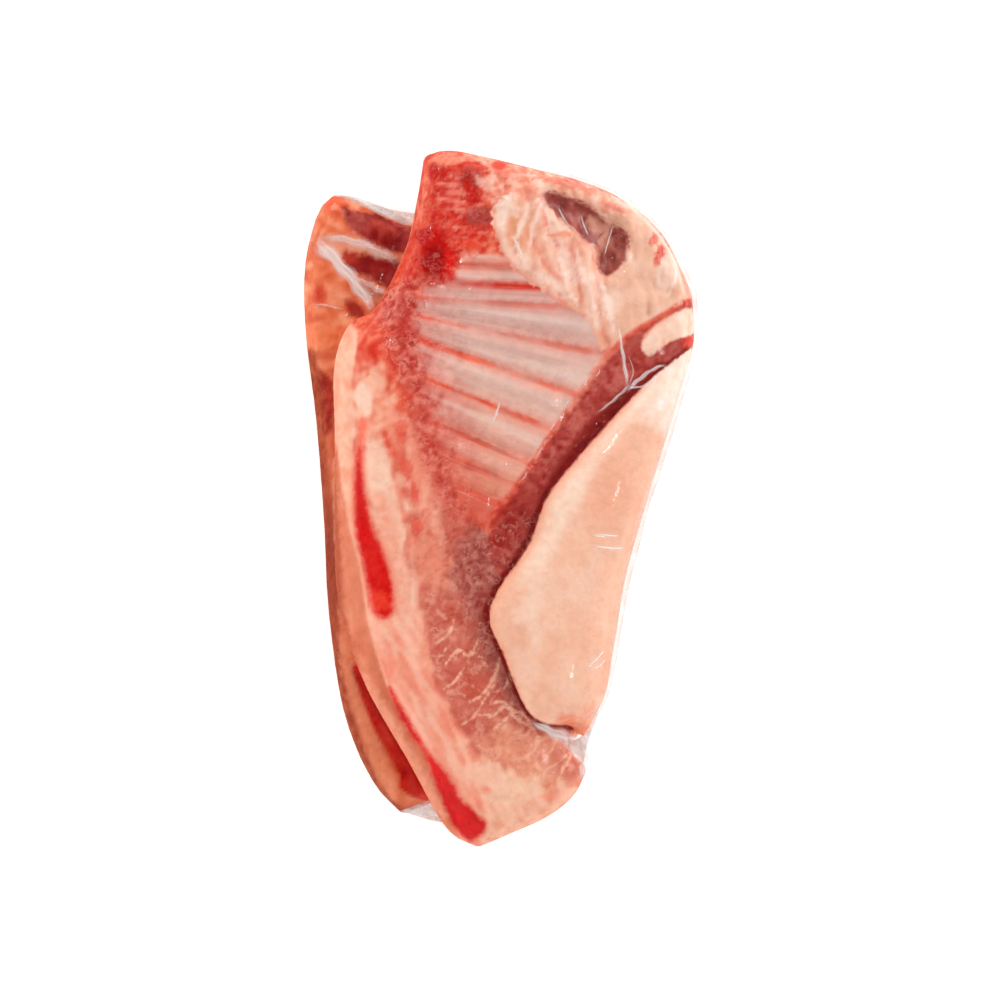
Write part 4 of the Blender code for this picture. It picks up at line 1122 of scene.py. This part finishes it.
# Painted shade on the steep sides; the underside is paler skin
skin.lay(0.85 * ease((0.4 - back_slope) / 0.4), ((136, 44, 18), (160, 62, 30), (184, 82, 48)), BROAD)
skin.lay(ease((-0.1 - back_slope) / 0.3), ((222, 144, 108), (234, 166, 130), (242, 184, 150)), BROAD)
lean = Canvas(spots, back_fields, ((132, 26, 26), (156, 38, 36), (188, 70, 62)))
lean.daub((-94, 214), (16, 6), ((180, 52, 44), (202, 76, 62)), turn=-16, ragged=0.5, cover=0.8)
lean.daub((-84, 220), (6, 3), ((212, 48, 34), (222, 66, 48)), turn=-28)
lean.daub((-112, 216), (9, 7), ((170, 66, 60), (190, 90, 80)), cover=0.8)
lean.daub((-118, 188), (7, 5), ((178, 48, 38), (198, 70, 56)), cover=0.8)
skin.keep(back_mesh, "ground")
lean.keep(back_mesh, "lean_tone")
keep_value(back_mesh, "lean_depth", np.maximum(depth_inside(spots, BACK_LEAN_TOP),
                                               depth_inside(spots, BACK_LEAN_LOW)))
print("The back slab has", len(back_mesh.attributes), "attributes")

# %% [markdown]
# ## The meat's material
# What is finer than the mesh comes from noise in the material: grains of fat and juice in the lean, pale
# threads of marbling, painted highlights on wet membranes, painted sheen along the ribs, and hair-thin lines
# along the ribs. The same noises drive the bump and the gloss.

# %% A group that turns a distance into an edge
def new_group(name, inputs, outputs):
    group = bpy.data.node_groups.new(name, "ShaderNodeTree")
    for label, value in inputs.items():
        group.interface.new_socket(label, in_out="INPUT", socket_type="NodeSocketFloat").default_value = value
    for label in outputs:
        group.interface.new_socket(label, in_out="OUTPUT", socket_type="NodeSocketFloat")
    return group, group.nodes.new("NodeGroupInput"), group.nodes.new("NodeGroupOutput")


def feed(tree, socket, value):
    """Give a socket its value: a number, a colour or another node's output."""
    if isinstance(value, bpy.types.NodeSocket):
        tree.links.new(value, socket)
    else:
        socket.default_value = value


def node(tree, kind, settings=None, **inputs):
    """A shader node with its settings, and its inputs by name."""
    made = tree.nodes.new("ShaderNode" + kind)
    for key, value in (settings or {}).items():
        setattr(made, key, value)
    for key, value in inputs.items():
        feed(tree, made.inputs[key.replace("_", " ")], value)
    return made


def maths(tree, operation, first, second=0.0, third=0.0, clamp=False):
    made = node(tree, "Math", {"operation": operation, "use_clamp": clamp})
    for socket, value in zip(made.inputs, (first, second, third)):
        feed(tree, socket, value)
    return made.outputs[0]


def ramp(tree, value, low, high, to_low=0.0, to_high=1.0):
    """A value carried from one range to another, softly and clamped."""
    made = node(tree, "MapRange", {"interpolation_type": "SMOOTHSTEP"}, Value=value)
    for label, number in (("From Min", low), ("From Max", high), ("To Min", to_low), ("To Max", to_high)):
        made.inputs[label].default_value = number
    return made.outputs["Result"]


def blend(tree, factor, below, above):
    made = node(tree, "Mix", {"data_type": "RGBA"})
    for socket, value in ((made.inputs[0], factor), (made.inputs[6], below), (made.inputs[7], above)):
        feed(tree, socket, value)
    return made.outputs[2]


def tint(tree, factor, below, tone):
    """A colour with a tone over it that is named as it looks in the photo."""
    return blend(tree, factor, below, (*linear(tone), 1.0))


edge_group, edge_in, edge_out = new_group(
    "torn_edge", {"Depth": 0.0, "Wander": 0.5, "Ragged": 1.0, "Softness": 1.0}, ("Mask",))
wander = maths(edge_group, "SUBTRACT", edge_in.outputs["Wander"], 0.5)
shifted = maths(edge_group, "MULTIPLY_ADD", wander, edge_in.outputs["Ragged"], edge_in.outputs["Depth"])
softened = maths(edge_group, "DIVIDE", shifted, edge_in.outputs["Softness"])
centred = maths(edge_group, "ADD", softened, 0.5, clamp=True)
edge_group.links.new(ramp(edge_group, centred, 0.0, 1.0), edge_out.inputs["Mask"])


# %% Noise that the meat's materials share
# Scales of the noises, in lumps a metre
GRAIN_SCALE = 190.0
WARP_SCALE = 110.0
THREAD_SCALE = 48.0
PATCH_SCALE = 28.0
# Scales of the two that are stretched along the ribs
HAIR_SCALE = 0.8
STREAK_SCALE = 0.26
# How far the threads of marbling are bent, in metres
THREAD_BEND = 0.016


def attribute(tree, name, output="Fac"):
    return node(tree, "Attribute", {"attribute_name": name}).outputs[output]


def noise_in(tree, here, scale, detail=2.0, rough=0.5, distortion=0.0):
    made = node(tree, "TexNoise", Vector=here, Scale=scale, Detail=detail, Roughness=rough,
                Distortion=distortion)
    return made.outputs["Fac"]


def edge_mask(tree, depth_name, wandering, ragged, soft):
    mask = tree.nodes.new("ShaderNodeGroup")
    mask.node_tree = edge_group
    mask.inputs["Ragged"].default_value = ragged
    mask.inputs["Softness"].default_value = soft
    tree.links.new(attribute(tree, depth_name), mask.inputs["Depth"])
    tree.links.new(wandering, mask.inputs["Wander"])
    return mask.outputs["Mask"]


def ribs_over(tree, colour, here, grain):
    """Rib crowns and the gaps between them, with hair-thin lines along them."""
    place = attribute(tree, "rib_place")
    along = node(tree, "CombineXYZ")
    split = node(tree, "SeparateXYZ", Vector=here)
    tree.links.new(maths(tree, "MULTIPLY", split.outputs["X"], 18.0), along.inputs["X"])
    tree.links.new(maths(tree, "MULTIPLY", place, 10.0), along.inputs["Y"])
    hair = noise_in(tree, along.outputs[0], HAIR_SCALE, rough=0.6)
    wobble = maths(tree, "MULTIPLY_ADD", maths(tree, "SUBTRACT", grain, 0.5), 0.05, place)
    near = maths(tree, "PINGPONG", wobble, 0.5)
    width = attribute(tree, "rib_width")
    core = ramp(tree, maths(tree, "DIVIDE", near, width), 0.2, 2.1, 1.0, 0.0)
    halo = ramp(tree, near, 0.02, 0.4, 0.42, 0.0)
    patchy = noise_in(tree, here, PATCH_SCALE)
    core = maths(tree, "MULTIPLY", core, ramp(tree, patchy, 0.36, 0.6, 0.55, 1.0))
    gap = maths(tree, "MAXIMUM", core, halo)
    # Broad pale streaks along the upper ribs are painted sheen
    broad = noise_in(tree, along.outputs[0], STREAK_SCALE, detail=1.0)
    upper = ramp(tree, place, 1.0, 4.5)
    sheen_streak = maths(tree, "MULTIPLY", ramp(tree, broad, 0.5, 0.66, 0.0, 0.4), upper)
    crowns = tint(tree, sheen_streak, attribute(tree, "rib_crowns", "Color"), (236, 210, 198))
    dark_streak = maths(tree, "MULTIPLY", ramp(tree, broad, 0.5, 0.34, 0.0, 0.4), upper)
    crowns = tint(tree, dark_streak, crowns, (204, 144, 134))
    ribs = blend(tree, gap, crowns, attribute(tree, "rib_gaps", "Color"))
    pale_hair = maths(tree, "MULTIPLY", ramp(tree, hair, 0.5, 0.75), 0.14)
    ribs = tint(tree, pale_hair, ribs, (240, 214, 204))
    dark_hair = maths(tree, "MULTIPLY", ramp(tree, hair, 0.48, 0.25), 0.15)
    ribs = tint(tree, dark_hair, ribs, (206, 116, 104))
    return blend(tree, attribute(tree, "rib_fade"), colour, ribs)


def threads_over(tree, colour, here, grain):
    """Pale threads of marbling in the lean, painted highlights on the rims of wet membranes, and dark spots.
    """
    warp = node(tree, "TexNoise", Vector=here, Scale=WARP_SCALE, Detail=2.0)
    shift = node(tree, "VectorMath", {"operation": "SCALE"}, Scale=THREAD_BEND)
    bent = node(tree, "VectorMath", {"operation": "ADD"})
    tree.links.new(warp.outputs["Color"], shift.inputs[0])
    tree.links.new(here, bent.inputs[0])
    tree.links.new(shift.outputs[0], bent.inputs[1])
    cells = node(tree, "TexVoronoi", {"feature": "DISTANCE_TO_EDGE"}, Scale=THREAD_SCALE,
                 Vector=bent.outputs[0])
    thread = ramp(tree, cells.outputs["Distance"], 0.0, 0.085, 1.0, 0.0)
    thread = maths(tree, "MULTIPLY", thread, ramp(tree, warp.outputs["Fac"], 0.46, 0.62))
    thread = maths(tree, "MULTIPLY", thread, attribute(tree, "marbling"))
    colour = tint(tree, maths(tree, "MULTIPLY", thread, 0.4), colour, (246, 182, 158))
    # Painted highlights on the rims of wet membranes
    membrane_highlights = maths(tree, "ABSOLUTE", maths(tree, "SUBTRACT", grain, 0.55))
    membrane_highlights = ramp(tree, membrane_highlights, 0.0, 0.24, 1.0, 0.0)
    membrane_highlights = maths(tree, "MULTIPLY", membrane_highlights, ramp(tree, warp.outputs["Fac"], 0.42, 0.6))
    membrane_highlights = maths(tree, "MULTIPLY", membrane_highlights, attribute(tree, "bubbly"))
    colour = tint(tree, maths(tree, "MULTIPLY", membrane_highlights, 0.36), colour, (250, 192, 174))
    spotted_share = ramp(tree, attribute(tree, "bubbly"), 0.35, 0.9)
    dark_spots = maths(tree, "MULTIPLY", ramp(tree, grain, 0.45, 0.1), spotted_share)
    dark_spots = maths(tree, "MULTIPLY", dark_spots, ramp(tree, attribute(tree, "rib_fade"), 0.0, 0.5, 0.35, 0.0))
    return tint(tree, dark_spots, colour, (168, 36, 36)), thread


# %% The meat itself
GRAIN_HEIGHT = 0.6
JUICE_DEPTH = 3.0


def meat(name, cuts, ribbed=False):
    """Wet meat: the canvases cut against each other, grain and marbling over them, and a shine of juice."""
    made = bpy.data.materials.new(name)
    made.use_nodes = True
    tree = made.node_tree
    shader = tree.nodes["Principled BSDF"]
    here = node(tree, "TexCoord").outputs["Object"]
    grain = noise_in(tree, here, GRAIN_SCALE, detail=3.0, rough=0.6, distortion=0.4)
    grain = ramp(tree, grain, 0.32, 0.68)
    colour = attribute(tree, "ground", "Color")
    if ribbed:
        colour = ribs_over(tree, colour, here, grain)
    for canvas, depth_name, ragged, soft in cuts:
        colour = blend(tree, edge_mask(tree, depth_name, grain, ragged, soft), colour,
                       attribute(tree, canvas, "Color"))
    height = grain
    if ribbed:
        away = maths(tree, "ABSOLUTE", attribute(tree, "band_depth"))
        rim = maths(tree, "MULTIPLY", ramp(tree, away, 0.8, 4.5, 0.9, 0.0), attribute(tree, "rim_side"))
        for mask in (ramp(tree, grain, 0.0, 0.6, 0.4, 1.0),
                     ramp(tree, attribute(tree, "flap_depth"), -3.0, -1.0, 1.0, 0.0)):
            rim = maths(tree, "MULTIPLY", rim, mask)
        colour = blend(tree, rim, colour, attribute(tree, "rim", "Color"))
        colour, thread = threads_over(tree, colour, here, grain)
        height = maths(tree, "MULTIPLY_ADD", thread, 0.6, height)
    shade = node(tree, "VectorMath", {"operation": "SCALE"}, Scale=ramp(tree, grain, 0.0, 1.0, 0.97, 1.03))
    tree.links.new(colour, shade.inputs[0])
    tree.links.new(shade.outputs[0], shader.inputs["Base Color"])
    tree.links.new(ramp(tree, grain, 0.0, 1.0, 0.26, 0.5), shader.inputs["Roughness"])
    bump = node(tree, "Bump", Height=height, Strength=0.35, Distance=GRAIN_HEIGHT * MM)
    tree.links.new(bump.outputs["Normal"], shader.inputs["Normal"])
    for label, value in (
            ("Specular IOR Level", 0.15), ("Subsurface Weight", 0.1),
            ("Subsurface Radius", (1.0, 0.35, 0.2)), ("Subsurface Scale", JUICE_DEPTH * MM)):
        shader.inputs[label].default_value = value
    return made


# %% Cut the canvases against each other
# Each canvas, the distance that cuts it out, how far its edge wanders and how soft it is, in millimetres
FRONT_CUTS = (
    ("vein_tone", "vein_depth", 1.4, 2.0), ("streaks", "streak_depth", 2.0, 6.0),
    ("pad", "pad_depth", 3.0, 2.4), ("hollow", "hollow_depth", 2.5, 4.0), ("band", "band_depth", 2.5, 2.4),
    ("wedge", "wedge_depth", 1.0, 3.0), ("crevice_shade", "crevice_shade_depth", 1.5, 3.5),
    ("flap", "flap_depth", 0.8, 2.2),
)
BACK_CUTS = (("lean_tone", "lean_depth", 3.0, 6.0),)

front.data.materials.append(meat("front_meat", FRONT_CUTS, ribbed=True))
back.data.materials.append(meat("back_meat", BACK_CUTS))

# %% [markdown]
# ## The film
# Shrink film lies skin-tight on what bulges and spans what dips. The shell is made as it is in the factory:
# a loose skin over both slabs, drawn in. Here the two slabs are joined and meshed again as one form, and that
# skin is then smoothed, which bridges the notches, and pushed out again wherever it would cut the meat.

# %% Draw the film over the slabs
LOOSE_BY = 1.2
FILM_GAP = 0.5
FILM_GRAIN = 3.0
FILM_ROUNDS = 4


def film_shell(name, pieces, grain, rounds):
    """One loose skin round all the pieces, drawn in onto them in several rounds."""
    twins = []
    for source in pieces:
        twin = bpy.data.objects.new(name + "_part", source.data.copy())
        bpy.context.scene.collection.objects.link(twin)
        twin.data.materials.clear()
        twins.append(twin)
    only(*twins)
    bpy.ops.object.join()
    shell = bpy.context.object
    shell.name = shell.data.name = name
    target = bpy.data.objects.new(name + "_guide", shell.data.copy())
    bpy.context.scene.collection.objects.link(target)

    add_remesh(shell, grain)
    apply_all(shell)
    raise_by(shell, np.full(len(shell.data.vertices), LOOSE_BY))
    for _ in range(rounds):
        add_soften(shell, 0.5, 14)
        draw_in = shell.modifiers.new("draw_in", "SHRINKWRAP")
        draw_in.target = target
        draw_in.wrap_method = "NEAREST_SURFACEPOINT"
        draw_in.wrap_mode = "OUTSIDE"
        draw_in.offset = FILM_GAP * MM
        apply_all(shell)
    add_soften(shell, 0.4, 2)
    apply_all(shell)
    bpy.data.objects.remove(target)
    lift_to_floor(shell)
    return shell


film = film_shell("film_shell", (front, back), FILM_GRAIN, FILM_ROUNDS)
film_spots = places_of(film.data)
# Down the right side the film stands off the meat a little, as it does where a bag is sealed
stands_off = ease((0.6 - np.abs(normals_of(film.data)[:, 2])) / 0.5) * ease((film_spots[:, 0] - 20) / 40)
stands_off *= ease((film_spots[:, 1] + 190) / 40)
raise_by(film, stands_off * (2.8 + 1.8 * clouds(film_spots, 40.0)))
print("The film has", len(film.data.vertices), "vertices")

# %% [markdown]
# Where the film spans a notch it is a free web, which looks milky because it is wrinkled. Each web is made
# from a copy of its solid, meshed fine and crumpled.

# %% The free webs
WEB_OVERLAP = 1.15
WEB_GRAIN = 0.6


def free_web(solid, name, shift):
    """A crumpled web, thinner than its solid and a little wider."""
    web = fine_copy(solid, name, WEB_GRAIN, 2)
    places = places_of(web.data)
    low, high = places.min(axis=0), places.max(axis=0)
    flat = places * (1, 1, 0)
    places[:, 2] = (places[:, 2] - (low[2] + high[2]) / 2) * 0.5 + (low[2] + high[2]) / 2
    places[:, 2] += 0.9 * clouds(flat, 5.0, stretch=(2.5, 0.8), turn=-0.4) + 0.4 * clouds(flat, 2.0)
    centre = (low + high) / 2
    places[:, :2] = centre[:2] + shift + WEB_OVERLAP * (places[:, :2] - centre[:2])
    move_to(web.data, places)
    return web


WEB_SHIFTS = {"top": (-1.0, -4.5), "bottom": (1.0, 4.0), "flap": (-5.0, 1.0)}
webs = [free_web("film_web_" + place, "web_" + place, shift) for place, shift in WEB_SHIFTS.items()]

# %% [markdown]
# Pleats are the folds of spare film: flat milky ribbons, thick in the middle and fading at both ends. Each is
# a plane, cut into strips, bent along its route and dropped onto the shell with a Shrinkwrap modifier. The
# glint and glare ribbons among them are painted highlights: milky ribbons laid where the film shines.

# %% Where the pleats and glints lie
# Each pleat's name, its route seen from above, its half widths and how milky it is
PLEATS = (
    ("pleat_wide", ((-146, 204), (-136, 194), (-121, 178), (-108, 161), (-98, 146)),
     (8.0, 7.0, 6.0, 5.5, 4.5), 0.75),
    ("pleat_thin", ((-141, 205), (-121, 203), (-100, 196), (-79, 185)), (2.0, 4.5, 5.5, 4.5), 0.4),
    ("pleat_short", ((-117, 174), (-105, 169), (-88, 160)), (1.4, 3.6, 3.0), 0.36),
    ("pleat_side", ((-147, 152), (-138, 152), (-122, 148)), (0.6, 1.2, 0.6), 0.3),
    ("pleat_nose", ((22, -172), (38, -180), (54, -188), (68, -196)), (1.5, 5.0, 7.0, 6.0), 0.6),
    ("pleat_base", ((62, -186), (66, -202), (62, -220)), (2.0, 5.0, 3.0), 0.5),
    ("glint_rib", ((0, 77), (-3, 67), (-7, 57)), (0.4, 1.6, 0.4), 0.6),
    ("glint_pad", ((91, 138), (95, 112), (99, 86)), (0.6, 1.8, 2.0), 0.6),
    ("glint_hollow_a", ((88, 214), (84, 201), (80, 187)), (0.3, 1.0, 0.3), 0.6),
    ("glint_hollow_b", ((62, 222), (65, 212), (69, 203)), (0.3, 0.9, 0.3), 0.65),
    ("glint_pad_a", ((9, 205), (14, 195), (17, 186)), (0.3, 0.9, 0.3), 0.7),
    ("glint_pad_b", ((44, 228), (49, 218), (54, 211)), (0.3, 0.8, 0.3), 0.6),
    ("star_b", ((97, 83), (109, 94), (121, 102), (131, 104)), (1.6, 2.4, 1.8, 1.0), 0.5),
    ("star_c", ((102, 90), (87, 76), (74, 66)), (1.4, 1.6, 0.8), 0.4),
    ("star_d", ((97, 86), (112, 88), (124, 99)), (0.8, 1.4, 0.8), 0.45),
    ("star_e", ((99, 87), (103, 99), (99, 112)), (0.6, 0.5, 0.2), 0.4),
    ("glare_a", ((70, -28), (81, -28), (93, -29)), (0.4, 1.2, 0.4), 0.9),
    ("glare_b", ((71, -36), (85, -38), (98, -38)), (0.4, 1.3, 0.4), 0.9),
    ("glare_c", ((66, -132), (74, -124), (82, -116)), (0.4, 1.1, 0.4), 0.9),
    ("glare_d", ((72, -132), (78, -128), (82, -123)), (0.3, 0.8, 0.3), 0.8),
)
# The middles of the short glints on the fold between ribs and band
BAND_GLINTS = ((75, 98), (66, 91), (52, 74), (47, 64), (40, 56), (31, 37), (18, 18))

# %% Lay the pleats
PLEAT_LIFT = 0.5
PLEAT_STEP = 1.2
PLEAT_THICKNESS = 0.25
PLEAT_ROWS = 8
# A ribbon drops from one height, and what stays above the other has missed the shell
DROP_HEIGHT = 120.0
MISSED_HEIGHT = 110.0


def pleat(name, route, half_widths, milk_and_shine):
    """A ribbon of film along a route seen from above, laid on the shell."""
    length = np.sum(np.linalg.norm(np.diff(route, axis=0), axis=1))
    count = max(10, int(length / PLEAT_STEP))
    bpy.ops.object.select_all(action="DESELECT")
    bpy.ops.mesh.primitive_grid_add(x_subdivisions=count, y_subdivisions=PLEAT_ROWS - 1, size=2.0)
    ribbon = bpy.context.object
    ribbon.name = ribbon.data.name = name
    grid = places_of(ribbon.data) + DRAWING_SHIFT
    along, across = grid[:, 0] * MM / 2 + 0.5, grid[:, 1] * MM
    line = smooth_curve(route, 60)
    marks = np.linspace(0, 1, len(line))
    spot = np.column_stack([np.interp(along, marks, line[:, axis]) for axis in (0, 1)])
    run = np.gradient(line, axis=0)
    run /= np.linalg.norm(run, axis=1)[:, None]
    side = np.column_stack([np.interp(along, marks, -run[:, 1]), np.interp(along, marks, run[:, 0])])
    width = np.interp(along, np.linspace(0, 1, len(half_widths)), half_widths)
    edge_wave = 1 + 0.25 * np.sin(along * 23 + 2 * np.sign(across))
    flat = spot + side * (across * width * edge_wave)[:, None]
    move_to(ribbon.data, np.column_stack([flat, np.full(len(flat), DROP_HEIGHT)]))
    drop = ribbon.modifiers.new("drop", "SHRINKWRAP")
    drop.target = film
    drop.wrap_method = "PROJECT"
    drop.use_project_z = True
    drop.use_negative_direction = True
    drop.use_positive_direction = False
    drop.offset = PLEAT_LIFT * MM
    apply_all(ribbon)
    places = places_of(ribbon.data)
    beside = places[:, 2] > MISSED_HEIGHT
    places[beside, 2] = places[~beside, 2].min()
    places[:, 2] += 0.25 * np.cos(across * math.pi * 1.5) * np.minimum(width, 2.0)
    move_to(ribbon.data, places)
    fade = ease(np.minimum(along, 1 - along) / 0.22) * ease((1 - np.abs(across)) / 0.8)
    streaks = 0.7 + 0.3 * np.cos(across * 9.0 + 3.0 * np.sin(along * 5.0))
    keep_value(ribbon.data, "milk_and_shine", milk_and_shine * fade * streaks)
    ribbon.data.shade_smooth()
    return ribbon


pleats = [pleat(*facts) for facts in PLEATS]
for number, (x, y) in enumerate(BAND_GLINTS):
    bow = 1.5 - number % 3
    route = ((x - 2, y - 4), (x + bow, y), (x + 2, y + 4))
    pleats.append(pleat("glint_band_%d" % number, route, (0.2, 0.9, 0.2), 0.4))
only(*pleats)
bpy.ops.object.join()
pleats = bpy.context.object
pleats.name = pleats.data.name = "film_pleats"
thicken = pleats.modifiers.new("thicken", "SOLIDIFY")
thicken.thickness = PLEAT_THICKNESS * MM
thicken.offset = 1.0
apply_all(pleats)
print("The pleats have", len(pleats.data.vertices), "vertices")

# %% Milk on the shell and the webs
# Down the right side, where the shell is seen edge on, its milk is partly painted reflection of the white tent
keep_value(film.data, "milk_and_shine", 0.35 * stands_off * (1 + clouds(film_spots, 12.0)))
for web in webs:
    flat = places_of(web.data) * (1, 1, 0)
    keep_value(web.data, "milk_and_shine", 0.55 + 0.3 * clouds(flat, 5.0, stretch=(3.0, 0.8), turn=-0.4))


# %% The film's material
FILM_MIRROR = 0.015
FILM_RIM_MIRROR = 0.08
WRINKLE_SCALE = 70.0
FINE_WRINKLE_SCALE = 260.0


def clear_film(name, gloss_rough, wrinkle_height):
    """Thin clear film: it lets the meat through, mirrors the lamps, and turns milky where it is folded.

    It mirrors most at its rim, where it is seen edge on. Only the camera sees the film: light for the meat
    passes it unchanged, because a real film takes next to nothing away, and it throws no shadow.
    """
    made = bpy.data.materials.new(name)
    made.use_nodes = True
    tree = made.node_tree
    body = tree.nodes["Principled BSDF"]
    body.inputs["Base Color"].default_value = (0.84, 0.78, 0.76, 1.0)
    body.inputs["Roughness"].default_value = 0.35
    here = node(tree, "TexCoord").outputs["Object"]
    wrinkle = noise_in(tree, here, WRINKLE_SCALE, detail=3.0, distortion=0.8)
    fine = noise_in(tree, here, FINE_WRINKLE_SCALE, distortion=0.5)
    height = maths(tree, "MULTIPLY_ADD", fine, 0.3, wrinkle)
    bump = node(tree, "Bump", Height=height, Strength=0.5, Distance=wrinkle_height * MM)
    gloss = node(tree, "BsdfAnisotropic", {"distribution": "GGX"}, Roughness=gloss_rough)
    facing = node(tree, "LayerWeight", Blend=0.5)
    for shader in (gloss, body, facing):
        tree.links.new(bump.outputs["Normal"], shader.inputs["Normal"])
    clear = node(tree, "BsdfTransparent")
    seen = node(tree, "LightPath").outputs["Is Camera Ray"]
    # Milk is the film's own milkiness in folds and webs, a painted highlight on the glint ribbons, and partly
    # painted reflection down the shell's right side
    milk_and_shine = attribute(tree, "milk_and_shine")
    rim = maths(tree, "POWER", facing.outputs["Facing"], 4.0)
    mirror = maths(tree, "MULTIPLY_ADD", rim, FILM_RIM_MIRROR, FILM_MIRROR)
    milky = maths(tree, "MULTIPLY", milk_and_shine, seen, clamp=True)
    shine = maths(tree, "MULTIPLY", mirror, seen, clamp=True)
    dull = node(tree, "MixShader", Fac=milky)
    tree.links.new(clear.outputs[0], dull.inputs[1])
    tree.links.new(body.outputs[0], dull.inputs[2])
    shiny = node(tree, "MixShader", Fac=shine)
    tree.links.new(dull.outputs[0], shiny.inputs[1])
    tree.links.new(gloss.outputs[0], shiny.inputs[2])
    tree.links.new(shiny.outputs[0], tree.nodes["Material Output"].inputs["Surface"])
    return made


tight_film = clear_film("tight_film", 0.08, 0.7)
loose_film = clear_film("loose_film", 0.14, 0.5)
film.data.materials.append(tight_film)
pleats.data.materials.append(loose_film)
for web in webs:
    web.data.materials.append(loose_film)
for piece in (film, pleats, *webs):
    piece.visible_shadow = False
    piece.visible_diffuse = False

# %% Hang the pieces on the root body and hide the solids they stand in for
for piece, solid, slot in (
        (front, "front_slab", "front_meat"), (back, "back_slab", "back_meat"),
        (webs[0], "film_web_top", "film"), (webs[1], "film_web_bottom", "film"),
        (webs[2], "film_web_flap", "film")):
    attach(piece, "root")
    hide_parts(solid)
for piece in (film, pleats):
    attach(piece, "root")
